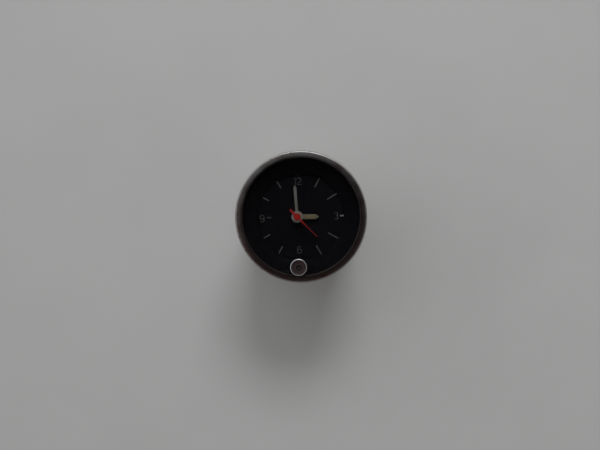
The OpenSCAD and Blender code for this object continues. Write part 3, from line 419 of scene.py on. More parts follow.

# %% [markdown]
# The dial is sprayed with matte black that has a very fine tooth. The setting knob is dark plastic with a fluted
# flank, and only a thin ring round the top is plated. The plastic's purple brown is a painted reflection of brown
# surroundings. The distance from the knob's own axis and the height together pick out that ring, and the same mask
# switches it from plastic to metal.

# %% Dial and knob finishes
dial_paint = Finish("dial_black", gloss=MATTE, centre=(hand_x, hand_y, 0))
tooth = dial_paint.group(grain, Scale=7000)
haze = dial_paint.group(stains, Scale=60, From=0.4, To=0.75)
dial_paint.set({"Base Color": dial_paint.mix(haze, (0.0023, 0.0022, 0.0031), (0.0038, 0.0032, 0.0039)),
                "Roughness": dial_paint.between(tooth, 0.62, 0.82)})
dial_paint.bump(tooth, 0.2)
dial_paint.keep()

KNOB_R = 3.6
RING_IN, RING_DEPTH, RING_BLUR = KNOB_R - 0.3, 0.3, 0.08
knob_top = high("set_knob").z
ring_low = knob_top - RING_DEPTH
knob_paint = Finish("knob_chrome", gloss=SATIN, centre=(knob_x, knob_y, 0))
outer = knob_paint.group(zone, From=(RING_IN - RING_BLUR) * MM, To=RING_IN * MM)
upper = knob_paint.group(level, From=(ring_low - RING_BLUR) * MM, To=ring_low * MM)
plated = knob_paint.add("Math", "Value", {0: outer, 1: upper}, operation="MULTIPLY")
worn = knob_paint.group(stains, Scale=500, From=0.4, To=0.7)
# Painted reflection: the plastic's purple brown stands for brown surroundings mirrored in the knob's face.
knob_brown_reflection = knob_paint.mix(worn, (0.025, 0.0155, 0.0165), (0.016, 0.0102, 0.0112))
lathe_mark = knob_paint.group(rings, Scale=7000)
knob_paint.set({"Base Color": knob_paint.mix(plated, knob_brown_reflection, (0.46, 0.455, 0.465)), "Metallic": plated,
                "Roughness": knob_paint.between(lathe_mark, 0.26, 0.42)})
knob_paint.bump(lathe_mark, 0.15)
knob_paint.keep()

# %% [markdown]
# The seconds hand is sprayed red. The thick coat on its hub has kept its colour, and the thin needle has gone
# darker towards its tip, so the red is mixed by the distance from the hands' axis.

# %% Seconds hand finish
HUB_RED, HUB_WORN, TIP_RED = (0.195, 0.0075, 0.0056), (0.158, 0.0062, 0.0047), (0.079, 0.0047, 0.0053)
FADE_FROM, FADE_TO = 1.5, 7.0
RED_GLOSS = 0.08

red_paint = Finish("hand_red", gloss=RED_GLOSS, centre=(hand_x, hand_y, 0))
faded = red_paint.group(zone, From=FADE_FROM * MM, To=FADE_TO * MM)
scuffs = red_paint.group(stains, Scale=470, From=0.42, To=0.72)
spray = red_paint.group(grain, Scale=4200)
red_paint.set({"Base Color": red_paint.mix(faded, red_paint.mix(scuffs, HUB_RED, HUB_WORN), TIP_RED),
               "Roughness": red_paint.between(spray, 0.5, 0.65)})
red_paint.bump(spray, 0.2)
red_paint.keep()

# %% [markdown]
# The dial's print is thin grey ink, worn so that some strokes are fainter than others. The minute hand's sheet
# is a paler grey than the paint on it, and the setting shaft is burnished dark. The table is a stage and no
# part of the clock, but it too has a slight mottle.

# %% Ink, sheet, shaft and table finishes
TABLE_GREY, MOTTLE_SHADE, TABLE_ROUGH = (0.372, 0.377, 0.375), 0.96, 0.75
INK = (0.6, 0.8), PAINT, 1600, SATIN

common_finish("mark_ink", (0.055, 0.054, 0.054), (0.027, 0.027, 0.027), *INK)
common_finish("dash_ink", (0.125, 0.122, 0.116), (0.092, 0.092, 0.087), *INK)
common_finish("number_ink", (0.032, 0.032, 0.031), (0.017, 0.017, 0.017), *INK)
common_finish("faint_ink", (0.017, 0.016, 0.016), (0.011, 0.011, 0.011), *INK)
common_finish("pale_grey", (0.106, 0.104, 0.090), (0.090, 0.088, 0.077), (0.62, 0.82), PAINT, 5000, SATIN)
common_finish("burnished_steel", (0.032, 0.027, 0.027), (0.018, 0.015, 0.015), (0.3, 0.45), METAL, 3000, PLAIN)
table_paint = Finish("table_paint")
mottle = table_paint.group(stains, Scale=14, From=0.35, To=0.75)
shaded_grey = tuple(MOTTLE_SHADE * value for value in TABLE_GREY)
table_paint.set({"Base Color": table_paint.mix(mottle, TABLE_GREY, shaded_grey), "Roughness": TABLE_ROUGH})
table.data.materials.append(table_paint.keep())

# %% [markdown]
# An outline is drawn one corner after another by extruding a single point, as with a pen. A new mesh comes
# selected all over, and so do the solids after loading, so every tool below first picks what it may touch.

# %% Drawing
TINY = 1e-7


def pick(*pieces):
    """Select only these pieces and make the first one active. With none, nothing is selected."""
    bpy.ops.object.select_all(action="DESELECT")
    for piece in pieces:
        piece.select_set(True)
    if pieces:
        bpy.context.view_layer.objects.active = pieces[0]


def draw(name, points, closed=True):
    """Draw a line through points in millimetres by extruding one point, and stay in edit mode."""
    pick()
    bpy.ops.mesh.primitive_plane_add(size=MM)
    piece = bpy.context.object
    piece.name = piece.data.name = name
    bpy.ops.object.mode_set(mode="EDIT")
    bpy.ops.mesh.select_mode(type="VERT")
    bpy.ops.mesh.merge(type="CENTER")
    bpy.ops.transform.translate(value=Vector(points[0]) * MM)
    path = points + points[:1] if closed else points
    for start, end in zip(path, path[1:]):
        step = (Vector(end) - Vector(start)) * MM
        bpy.ops.mesh.extrude_region_move(TRANSFORM_OT_translate={"value": step})
    bpy.ops.mesh.select_all(action="SELECT")
    bpy.ops.mesh.remove_doubles(threshold=TINY)
    return piece


def close_up():
    """Merge doubles, turn every face outwards and leave edit mode."""
    bpy.ops.mesh.select_all(action="SELECT")
    bpy.ops.mesh.remove_doubles(threshold=10 * TINY)
    bpy.ops.mesh.normals_make_consistent(inside=False)
    bpy.ops.object.mode_set(mode="OBJECT")


def place(piece, x, y, z=0):
    """Move a piece to a point in millimetres."""
    piece.location = (x * MM, y * MM, z * MM)
    return piece


print("points closer than", TINY / MM, "mm are merged")

# %% [markdown]
# Round parts are turned. The outline of half the section is drawn, its corners are bevelled, and a spin about
# the axis makes the ring. That is how a lathe works too, and the section stays easy to read as a list of
# radius, height and rounding. A finished piece is smoothed, gets its finish, and rides on its body.

# %% Turning and settling
ROUND_STEPS, SHARP_ANGLE, NEAR = 6, 35, 0.001


def select_points(piece, test):
    """Select, in edit mode, the vertices whose place in millimetres passes a test."""
    bpy.ops.mesh.select_mode(type="VERT")
    bpy.ops.mesh.select_all(action="DESELECT")
    bpy.ops.object.mode_set(mode="OBJECT")
    for vertex in piece.data.vertices:
        vertex.select = test(vertex.co / MM)
    bpy.ops.object.mode_set(mode="EDIT")


def turn(name, corners, closed=True, steps=160, about=(0, 0)):
    """Turn an outline of (radius, height, rounding) corners about an upright axis."""
    piece = draw(name, [(r, 0, z) for r, z, _ in corners], closed)
    for size in sorted({rounding for _, _, rounding in corners if rounding}):
        here = [Vector((r, 0, z)) for r, z, rounding in corners if rounding == size]
        select_points(piece, lambda at: any((at - spot).length < NEAR for spot in here))
        bpy.ops.mesh.bevel(affect="VERTICES", offset=size * MM, segments=ROUND_STEPS)
    bpy.ops.mesh.select_all(action="SELECT")
    bpy.ops.mesh.spin(steps=steps, angle=math.tau, center=(0, 0, 0), axis=(0, 0, 1))
    close_up()
    return place(piece, *about)


def settle(piece, body, slot, *nodes, finish=None):
    """Smooth a piece, apply its place, give it its finish, and let it ride on its body."""
    pick(piece)
    bpy.ops.object.transform_apply(location=True, rotation=True, scale=True)
    bpy.ops.object.shade_smooth_by_angle(angle=math.radians(SHARP_ANGLE))
    piece.data.materials.clear()
    piece.data.materials.append(finishes[finish or slot])
    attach(piece, body)
    if nodes:
        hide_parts(*nodes)
    print(piece.name, "on", body, "with", len(piece.data.polygons), "faces")


print("a rounding has", ROUND_STEPS, "steps, and edges over", SHARP_ANGLE, "degrees stay sharp")

# %% [markdown]
# The bezel is spun from thin sheet: a rolled flank, a face that falls a little outwards, and a lip that
# holds the lens. The inner edge is rolled over, which gives the faint light line round the glass. Its back is
# turned in under the can's flange.

# %% Bezel
OPEN_R, CAVITY_R, LIP_R, LIP_T = 25.9, 27.7, 25.95, 0.9
FACE_FALL = 0.25
bezel = turn("bezel_ring", [
    (LIP_R, seat_z, 0.15), (bezel_r, seat_z, 0.3), (bezel_r, bezel_top - FACE_FALL, 0.7),
    (OPEN_R + 0.5, bezel_top, 0.15), (OPEN_R + 0.1, bezel_top - 0.05, 0.06), (OPEN_R, bezel_top - 0.25, 0.08),
    (OPEN_R, lens_top, 0), (CAVITY_R, lens_top, 0), (CAVITY_R, seat_z + LIP_T, 0),
    (LIP_R, seat_z + LIP_T, 0.1)], steps=240)
settle(bezel, "case", "bezel_chrome", "bezel")

# %% [markdown]
# Behind the lens a black pressed ring slopes down to the dial and hides its edge. Its window has a rounded
# lip, and the setting shaft passes through a hole in the slope, cut with a Boolean.

# %% Shade ring
WINDOW_R, SHOULDER_R, SHADE_T, SHAFT_HOLE_R = 19.25, 24.75, 0.8, 1.65


def drill(piece, *cutters, operation="DIFFERENCE"):
    """Cut pieces out of a piece, or add them to it, and remove them."""
    for cutter in cutters:
        pick(piece)
        bpy.ops.object.modifier_add(type="BOOLEAN")
        cut = piece.modifiers[-1]
        cut.operation, cut.object, cut.solver = operation, cutter, "EXACT"
        bpy.ops.object.modifier_apply(modifier=cut.name)
        pick(cutter)
        bpy.ops.object.delete()


def rod(name, x, y, r, z0, z1, sides=64):
    """A plain round bar, used as a cutter."""
    pick()
    bpy.ops.mesh.primitive_cylinder_add(
        vertices=sides, radius=r * MM, depth=(z1 - z0) * MM, location=(x * MM, y * MM, (z0 + z1) / 2 * MM))
    bar = bpy.context.object
    bar.name = name
    bpy.ops.object.transform_apply(location=True)
    return bar


shade_low, shade_top = low("shade_ring").z, high("shade_ring").z
shade_seat = shade_top - SHADE_T
slope = (shade_top - shade_low - SHADE_T) / (OPEN_R - WINDOW_R)
shade = turn("shade_cone", [
    (WINDOW_R, shade_low, 0.15), (WINDOW_R, shade_low + SHADE_T, 0.35), (OPEN_R, shade_top, 0.2),
    (lens_r, shade_top, 0), (lens_r, shade_seat, 0), (SHOULDER_R, shade_seat, 0),
    (SHOULDER_R, shade_low + (SHOULDER_R - WINDOW_R) * slope, 0)], steps=200)
drill(shade, rod("shaft_hole", knob_x, knob_y, SHAFT_HOLE_R, shade_low - 1, shade_top + 1))
settle(shade, "case", "shade_black", "shade_ring")

# %% [markdown]
# The hands are stamped from thin sheet. The hour and minute hands carry a strip of luminous paint that has
# aged to cream and to grey green. Each is drawn as an outline pointing at twelve, filled, extruded
# and bevelled, then turned to the time. The strip of paint lies on top as a piece of its own.

# %% Hand tools
HAND_T, POINT = 0.3, 1.5


def arc(r, start, end, count):
    """Points on a circle round the origin, from one angle to another, in degrees."""
    angles = [math.radians(start + (end - start) * i / count) for i in range(count + 1)]
    return [(r * math.cos(a), r * math.sin(a), 0) for a in angles]


def stamp(name, outline, thick, soft=0.05):
    """A flat plate from an outline, with its edges eased."""
    piece = draw(name, outline)
    bpy.ops.mesh.edge_face_add()
    bpy.ops.mesh.extrude_region_move(TRANSFORM_OT_translate={"value": (0, 0, thick * MM)})
    close_up()
    bpy.ops.object.modifier_add(type="BEVEL")
    ease = piece.modifiers[-1]
    ease.width, ease.segments, ease.limit_method = soft * MM, 2, "ANGLE"
    bpy.ops.object.modifier_apply(modifier=ease.name)
    return piece


def hand_outline(length, root, tip, boss):
    """A pointed hand with a round boss, pointing along Y."""
    start = math.degrees(math.acos(root / 2 / boss))
    blade_end = [(tip / 2, length - POINT, 0), (0, length, 0), (-tip / 2, length - POINT, 0)]
    return blade_end + arc(boss, 180 - start, 360 + start, 40)


def bore(piece, r, top=1):
    """Open the hole by which a hand sits on its pipe or arbor."""
    drill(piece, rod("bore", 0, 0, r, -1, top))


def set_hand(piece, clock_angle, height):
    """Turn a hand to its angle, clockwise from twelve, at its height over the dial."""
    piece.rotation_euler.z = -math.radians(clock_angle)
    return place(piece, hand_x, hand_y, height)


print("hands of", HAND_T, "mm sheet")

# %% [markdown]
# The hour hand is short and broad, and stands a little past three. A thin margin of the painted metal shows
# round its cream strip.

# %% Hour hand
HOUR_AT, HOUR_LEN, HOUR_W, HOUR_BOSS, HOUR_BORE = 91, 9.7, 2.2, 2.5, 2.05
MARGIN, TIP_MARGIN, CREAM_T = 0.16, 0.256, 0.1
hour_z = low("hour_hand").z
hour = stamp("hour_blade", hand_outline(HOUR_LEN, HOUR_W, HOUR_W, HOUR_BOSS), HAND_T)
bore(hour, HOUR_BORE)
settle(set_hand(hour, HOUR_AT, hour_z), "hour", "lume_cream", "hour_hand", finish="lume_grey")
strip = HOUR_W / 2 - MARGIN
hour_paint = stamp("hour_lume", [
    (strip, HOUR_BOSS, 0), (strip, HOUR_LEN - POINT, 0), (0, HOUR_LEN - TIP_MARGIN, 0),
    (-strip, HOUR_LEN - POINT, 0), (-strip, HOUR_BOSS, 0)], CREAM_T)
settle(set_hand(hour_paint, HOUR_AT, hour_z + HAND_T), "hour", "lume_cream")

# %% [markdown]
# The minute hand is long and slim and reaches the foot of the twelve. Its boss is a wide disc that covers the
# hour hand's pipe and shows as a ring round the red hub. The blade is lighter than the paint on it.

# %% Minute hand
MINUTE_AT, MINUTE_LEN, MINUTE_W, MINUTE_ROOT, MINUTE_BOSS, MINUTE_BORE = 357, 14.3, 1.3, 1.1, 2.6, 1.45
THIN_MARGIN, THIN_TIP, GREY_T = 0.1, 0.3, 0.08
minute_z = low("minute_hand").z
minute = stamp("minute_blade", hand_outline(MINUTE_LEN, MINUTE_ROOT, MINUTE_W, MINUTE_BOSS), HAND_T)
bore(minute, MINUTE_BORE)
settle(set_hand(minute, MINUTE_AT, minute_z), "minute", "lume_grey", "minute_hand", finish="pale_grey")
root, end = MINUTE_ROOT / 2 - THIN_MARGIN, MINUTE_W / 2 - THIN_MARGIN
minute_paint = stamp("minute_lume", [
    (root, MINUTE_BOSS, 0), (end, MINUTE_LEN - POINT, 0), (0, MINUTE_LEN - THIN_TIP, 0),
    (-end, MINUTE_LEN - POINT, 0), (-root, MINUTE_BOSS, 0)], GREY_T, soft=0.03)
settle(set_hand(minute_paint, MINUTE_AT, minute_z + HAND_T), "minute", "lume_grey")

# %% [markdown]
# The seconds hand is a thin red needle with a wider tail that balances it, and a hub pressed on the arbor:
# a low collar with a raised middle. Needle and tail are one stamping, and the hub is turned and joined to it.

# %% Seconds hand
SECOND_AT, SECOND_LEN, SECOND_W, SECOND_TIP, SECOND_BORE = 136.5, 12.7, 0.7, 0.4, 0.52
NEEDLE_FROM, TIP_TAPER, TAIL, TAIL_W, HUB_R, PIP_R = 0.5, 0.25, 4.65, 1.0, 1.55, 1.0
second_z = low("seconds_hand").z
half, tip, tail, tip_y = SECOND_W / 2, SECOND_TIP / 2, TAIL_W / 2, SECOND_LEN - TIP_TAPER
needle = stamp("seconds_needle", [
    (half, NEEDLE_FROM, 0), (tip, tip_y, 0), (0, SECOND_LEN, 0), (-tip, tip_y, 0), (-half, NEEDLE_FROM, 0),
    (-tail, 0, 0), (-tail, -TAIL, 0), (tail, -TAIL, 0), (tail, 0, 0)], HAND_T)
hub = turn("hub", [
    (0, 0, 0), (HUB_R, 0, 0), (HUB_R, HAND_T + 0.08, 0.1), (PIP_R, HAND_T + 0.12, 0),
    (PIP_R - 0.06, 2 * HAND_T, 0.12), (0, 2 * HAND_T, 0)], closed=False, steps=64)
drill(needle, hub, operation="UNION")
bore(needle, SECOND_BORE, top=HAND_T)
settle(set_hand(needle, SECOND_AT, second_z), "seconds", "hand_red", "seconds_hand")

# %% [markdown]
# The dial carries thin hour marks, four numbers and a short dash beside each number, clear at the three and
# faint elsewhere. The marks are one small bar, modelled once and copied round the dial. The print stands a
# few hundredths of a millimetre proud, as screen ink does, and its centre lies a little to the right of the
# hands.

# %% Hour marks
PRINT_X = hand_x + 0.6
INK_T, INK_EASE = 0.04, 0.015
MARK_W, MARK_FROM, MARK_TO = 0.46, 15.1, 20.6
MARKS_AT = [30, 60, 120, 150, 210, 240, 300, 330]
DASH_W, DASH_FROM, DASH_TO = 0.6, 18.6, 20.3
NINE_DASH_FROM, NINE_DASH_TO = 12.2, 14.1


def ink_bar(width, start, end, clock_angle):
    """A thin bar of ink that points outwards at an angle on the dial."""
    half = width / 2
    bar = stamp("bar", [(half, start, 0), (half, end, 0), (-half, end, 0), (-half, start, 0)], INK_T, INK_EASE)
    bar.rotation_euler.z = -math.radians(clock_angle)
    return bar


def join(name, parts):
    """Join parts into one piece."""
    pick(*parts)
    bpy.ops.object.join()
    parts[0].name = parts[0].data.name = name
    return parts[0]


def copy_of(piece, clock_angle=0):
    """A copy of a piece with a mesh of its own, turned to an angle on the dial."""
    pick(piece)
    bpy.ops.object.duplicate(linked=False)
    bpy.context.object.rotation_euler.z = -math.radians(clock_angle)
    return bpy.context.object


def print_on_dial(name, bars, finish):
    """Join bars of ink and lay them on the dial round the print's centre."""
    pick(*bars)
    bpy.ops.object.transform_apply(rotation=True)
    settle(place(join(name, bars), PRINT_X, 0, dial_top), "case", "dial_black", finish=finish)


mark = ink_bar(MARK_W, MARK_FROM, MARK_TO, MARKS_AT[0])
print_on_dial("hour_marks", [mark] + [copy_of(mark, angle) for angle in MARKS_AT[1:]], "mark_ink")
print_on_dial("three_dash", [ink_bar(DASH_W, DASH_FROM, DASH_TO, 90)], "dash_ink")
top_dash = ink_bar(DASH_W, DASH_FROM, DASH_TO, 0)
nine_dash = ink_bar(DASH_W, NINE_DASH_FROM, NINE_DASH_TO, 270)
print_on_dial("faint_dashes", [top_dash, copy_of(top_dash, 180), nine_dash], "faint_ink")

# %% [markdown]
# The numbers are drawn as single strokes, the way a sign writer makes them: a path is extruded point by
# point, made a curve with a round section, made a mesh again and pressed flat. The nine is the six turned
# over.

# %% Numbers
NUMBER_H, STROKE = 3.0, 0.36


def sweep(cx, cy, r, start, end, count=14):
    """Points on an arc of a number, in parts of its height."""
    return [(cx + x, cy + y) for x, y, _ in arc(r, start, end, count)]


one = [[(0.02, 0.80), (0.22, 1.0), (0.22, 0.0)]]
two = [sweep(0.31, 0.70, 0.29, 165, -38) + [(0.02, 0.0), (0.64, 0.0)]]
three = [sweep(0.29, 0.755, 0.245, 150, -90) + sweep(0.29, 0.26, 0.26, 88, -150)]
six = [sweep(0.31, 0.70, 0.30, 40, 180) + sweep(0.31, 0.30, 0.30, 180, 540, 28)]
nine = [[(0.62 - x, 1 - y) for x, y in stroke] for stroke in six]
twelve = one + [[(x + 0.42, y) for x, y in stroke] for stroke in two]


def write(name, strokes, x, y):
    """Write one number with its middle at a point of the dial, in millimetres."""
    wide = max(px for stroke in strokes for px, _ in stroke)
    parts = []
    for stroke in strokes:
        draw(name, [(x + (px - wide / 2) * NUMBER_H, y + (py - 0.5) * NUMBER_H, 0) for px, py in stroke],
             closed=False)
        bpy.ops.object.mode_set(mode="OBJECT")
        bpy.ops.object.convert(target="CURVE")
        curve = bpy.context.object.data
        curve.bevel_depth, curve.bevel_resolution, curve.use_fill_caps = STROKE / 2 * MM, 2, True
        bpy.ops.object.convert(target="MESH")
        parts.append(bpy.context.object)
    return join(name, parts)


numbers = join("dial_numbers", [
    write("twelve", twelve, 0, 16.0), write("three", three, 16.8, 0),
    write("six", six, 0, -14.8), write("nine", nine, -16.4, -0.3)])
numbers.scale.z = INK_T / STROKE
settle(place(numbers, PRINT_X, 0, dial_top + INK_T / 2), "case", "dial_black", finish="number_ink")

# %% [markdown]
# The setting knob is a small turning: a fluted flank to grip, a bright rounded rim and a dished face round the
# end of its shaft. The flutes are every other pair of flank faces, set inwards together.

# %% Setting knob
KNOB_BORE, DISH, RIM_W = 1.27, 0.6, 0.55
FLUTES, FLUTE_EDGE, FLUTE_DEPTH = 40, 0.03, 0.14
knob_z = low("set_knob").z
flute_low, flute_top = knob_z + 0.7, knob_top - 1.0
dish_r = KNOB_R - RIM_W
knob = turn("knob_body", [
    (KNOB_BORE, knob_z, 0), (KNOB_R - 0.3, knob_z, 0.12), (KNOB_R, knob_z + 0.3, 0.12),
    (KNOB_R, flute_low, 0), (KNOB_R, flute_top, 0), (KNOB_R, knob_top, 0.3),
    (dish_r, knob_top - 0.04, 0.12), (dish_r - 0.12, knob_top - DISH + 0.06, 0.12),
    (KNOB_BORE, knob_top - DISH, 0)], steps=4 * FLUTES)
bpy.ops.object.mode_set(mode="EDIT")
bpy.ops.mesh.select_mode(type="FACE")
bpy.ops.mesh.select_all(action="DESELECT")
bpy.ops.object.mode_set(mode="OBJECT")
for facet in knob.data.polygons:
    middle = facet.center / MM
    part_of_flute = math.degrees(math.atan2(middle.y, middle.x)) % 360 * FLUTES / 360 % 1
    on_flank = abs(facet.normal.z) < 0.1 and middle.xy.length > KNOB_R - 0.1
    facet.select = bool(on_flank and flute_low < middle.z < flute_top and part_of_flute < 0.5)
bpy.ops.object.mode_set(mode="EDIT")
bpy.ops.mesh.inset(thickness=FLUTE_EDGE * MM, depth=-FLUTE_DEPTH * MM)
bpy.ops.object.mode_set(mode="OBJECT")
settle(place(knob, knob_x, knob_y), "set_turn", "knob_chrome", "set_knob")

# %% [markdown]
# The shaft comes up through a small flanged bush in the lens. Both are plain turned steel, and the end of the
# shaft in the knob's face has a centre dimple.

# %% Bush and shaft
BUSH_IN, BUSH_OUT, BUSH_FLANGE = 1.3, 2.12, 2.75
SHAFT_R, TAIL_R, TAIL_TOP, DIMPLE_R, DIMPLE = 1.25, 1.15, 48.45, 0.55, 0.2
bush_top = high("shaft_bush").z
bush = turn("bush_sleeve", [
    (BUSH_IN, lens_z, 0), (BUSH_OUT, lens_z, 0.1), (BUSH_OUT, lens_top, 0), (BUSH_FLANGE, lens_top, 0),
    (BUSH_FLANGE, bush_top, 0.2), (BUSH_IN, bush_top, 0.08)], steps=96, about=(knob_x, knob_y))
settle(bush, "case", "bright_steel", "shaft_bush")
shaft_low, shaft_top = low("set_shaft").z, high("set_shaft").z
shaft = turn("setting_shaft", [
    (0, shaft_low, 0), (TAIL_R, shaft_low, 0.2), (TAIL_R, TAIL_TOP, 0), (SHAFT_R, TAIL_TOP, 0),
    (SHAFT_R, shaft_top, 0.12), (DIMPLE_R, shaft_top, 0.06), (0, shaft_top - DIMPLE, 0)],
    closed=False, steps=64, about=(knob_x, knob_y))
settle(shaft, "set_turn", "bright_steel", "set_shaft", finish="burnished_steel")

# %% [markdown]
# A coil spring round the shaft brings the knob back out. The section of the wire is a small circle, stood
# upright beside the axis and wound with a Screw modifier.

# %% Setting spring
WIRE, TURNS = 0.45, 6
spring_low, spring_top = low("set_spring"), high("set_spring")
coil_r = (spring_top.x - spring_low.x - WIRE) / 2
spring_h = spring_top.z - spring_low.z


def wind(piece, pitch, turns, steps):
    """Wind a section round the upright axis with a Screw modifier and close both ends."""
    bpy.ops.object.mode_set(mode="OBJECT")
    bpy.ops.object.modifier_add(type="SCREW")
    screw = piece.modifiers[-1]
    screw.screw_offset, screw.iterations = pitch * MM, turns
    screw.steps = screw.render_steps = steps
    bpy.ops.object.modifier_apply(modifier=screw.name)
    bpy.ops.object.mode_set(mode="EDIT")
    bpy.ops.mesh.select_mode(type="VERT")
    bpy.ops.mesh.select_all(action="SELECT")
    bpy.ops.mesh.remove_doubles(threshold=TINY)
    bpy.ops.mesh.select_all(action="DESELECT")
    bpy.ops.mesh.select_non_manifold()
    bpy.ops.mesh.fill_holes(sides=0)
    close_up()


pick()
bpy.ops.mesh.primitive_circle_add(vertices=12, radius=WIRE / 2 * MM)
spring = bpy.context.object
spring.name = spring.data.name = "setting_spring"
bpy.ops.object.mode_set(mode="EDIT")
bpy.ops.mesh.select_all(action="SELECT")
bpy.ops.transform.rotate(value=math.pi / 2, orient_axis="X", center_override=(0, 0, 0))
bpy.ops.transform.translate(value=(coil_r * MM, 0, 0))
wind(spring, (spring_h - WIRE) / TURNS, TURNS, 32)
settle(place(spring, knob_x, knob_y, spring_low.z + WIRE / 2), "case", "spring_steel", "set_spring")
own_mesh(spring)

# %% [markdown]
# The can is drawn from sheet steel and zinc plated. It is turned as a cup with a flange and a rolled neck,
# and its floor is pierced for the lamp, the screws, the terminals and the regulator's slot.

# %% Case can
CAN_R, CAN_IN, NECK_CUT, FLOOR_T, CORNER, SHEET = 25.75, 24.95, 0.3, 1.0, 1.6, 0.8
SLOT_REACH, SLOT_W, SLOT_TURN = 8.2, 1.6, 26
LAMP_R, FIT = 5.15, 0.02
BLADE_X, BLADE_Y, LIVE_HOLE_R, EARTH_HOLE_R = 8, 9, 2.3, 1.52
STUD_X, STUD_Y, STUD_HOLE_R = 17.5, 3, 1.62
SCREW_RING, SCREW_ANGLES, SCREW_HOLE_R = 17.0, (90, 210, 330), 1.6
floor_top, flange_low, neck_r = back_z + FLOOR_T, flange_top - SHEET, CAN_R - NECK_CUT
can = turn("can_shell", [
    (0, back_z, 0), (CAN_R, back_z, CORNER), (CAN_R, seat_z, 0), (neck_r, seat_z, 0),
    (neck_r, flange_low, 0), (lens_r, flange_low, 0.2), (lens_r, flange_top, 0.2),
    (CAN_IN, flange_top, 0.2), (CAN_IN, floor_top, CORNER - SHEET), (0, floor_top, 0)], closed=False, steps=200)
below, above = back_z - 1, floor_top + 1
slot_edge = arc(SLOT_REACH + SLOT_W / 2, 90 - SLOT_TURN, 90 + SLOT_TURN, 24)
slot_edge += arc(SLOT_REACH - SLOT_W / 2, 90 + SLOT_TURN, 90 - SLOT_TURN, 24)
slot = place(stamp("slot", slot_edge, above - below, soft=0.001), balance_x, balance_y, below)
screw_places = [(hand_x + SCREW_RING * math.cos(math.radians(a)), SCREW_RING * math.sin(math.radians(a)))
                for a in SCREW_ANGLES]
holes = [(BLADE_X, BLADE_Y, LIVE_HOLE_R), (-BLADE_X, BLADE_Y, EARTH_HOLE_R),
         (STUD_X, STUD_Y, STUD_HOLE_R), (-STUD_X, STUD_Y, STUD_HOLE_R),
         *[(x, y, SCREW_HOLE_R) for x, y in screw_places]]
drill(can, rod("lamp_hole", 0, LAMP_Y, LAMP_R + FIT, below, above), slot,
      *[rod("hole", x, y, r, below, above) for x, y, r in holes])
settle(can, "case", "zinc_steel", "case_can")

# %% [markdown]
# Two threaded studs hold the clamp behind the panel. The thread is a small closed profile that a Screw
# modifier winds up the core. It starts half a pitch above the stud's chamfered end and runs up into the can's
# floor.

# %% Clamp studs
STUD_R, ROOT_R, PITCH, FLANK, CREST = 2.0, 1.58, 0.7, 0.45, 0.07
SHANK_R, COLLAR_R, COLLAR_H, THREAD_END = 1.6, 3.5, 1.5, 0.6


def threaded_stud(x, y):
    """A stud with a wound thread, a shank through the floor and a collar inside."""
    thread = draw("thread", [
        (ROOT_R - 0.1, 0, -FLANK * PITCH), (ROOT_R, 0, -FLANK * PITCH), (STUD_R, 0, -CREST * PITCH),
        (STUD_R, 0, CREST * PITCH), (ROOT_R, 0, FLANK * PITCH), (ROOT_R - 0.1, 0, FLANK * PITCH)])
    wind(thread, PITCH, int(back_z / PITCH), 36)
    place(thread, 0, 0, PITCH / 2)
    core = turn("core", [
        (0, 0, 0), (ROOT_R - 0.25, 0, 0), (ROOT_R, 0.3, 0), (ROOT_R, back_z - THREAD_END, 0),
        (SHANK_R, back_z - THREAD_END, 0), (SHANK_R, floor_top, 0), (COLLAR_R, floor_top, 0),
        (COLLAR_R, floor_top + COLLAR_H, 0.2), (0, floor_top + COLLAR_H, 0)], closed=False, steps=48)
    return place(join("stud", [core, thread]), x, y)


studs = join("threaded_studs", [threaded_stud(STUD_X, STUD_Y), threaded_stud(-STUD_X, STUD_Y)])
settle(studs, "case", "bright_steel", "mounting_studs")

# %% [markdown]
# Three flat blades take push-on connectors. A blade is stamped from sheet with a narrowed nose and a hole for
# the connector's catch, then riveted: the live one through a brown insulator, the earth straight to the can,
# and the lamp's in the floor of its holder. One function makes a blade lying flat and stands it up.

# %% Terminal blades
BLADE_W, BLADE_T, NOSE, CATCH_R, CATCH_SHARE = 6.3, 0.8, 1.0, 0.8, 0.4
RIVET_R, HEAD_R, HEAD_H, RIVET_TAIL_W, BLADE_DROP = 1.5, 3.2, 1, 0.8, 0.5
INSULATOR_R, INSULATOR_T, INSULATOR_STEP = 4.0, 1.2, 0.6


def blade(name, top):
    """A flat connector blade that stands on the table's level and reaches up to a height."""
    half, nose = BLADE_W / 2, (BLADE_W - NOSE) / 2
    plate = stamp(name, [(nose, 0, 0), (half, NOSE, 0), (half, top, 0), (-half, top, 0), (-half, NOSE, 0),
                         (-nose, 0, 0)], BLADE_T, soft=0.1)
    drill(plate, rod("catch_hole", 0, CATCH_SHARE * top, CATCH_R, -1, BLADE_T + 1, sides=32))
    plate.rotation_euler.x = math.pi / 2
    pick(place(plate, 0, BLADE_T / 2))
    bpy.ops.object.transform_apply(location=True, rotation=True)
    return plate


def riveted_blade(name, head_z, tail_z, tail_top):
    """A blade with its rivet: a round head under the seat and a smaller tail above it."""
    piece, tail_r = blade(name, head_z - BLADE_DROP), RIVET_R + RIVET_TAIL_W
    rivet = turn("rivet", [
        (0, head_z - HEAD_H, 0), (HEAD_R, head_z - HEAD_H, 0.3), (HEAD_R, head_z, 0.1), (RIVET_R, head_z, 0),
        (RIVET_R, tail_z, 0), (tail_r, tail_z, 0.1), (tail_r, tail_top, 0.2), (0, tail_top, 0)],
        closed=False, steps=48)
    drill(piece, rivet, operation="UNION")
    return piece


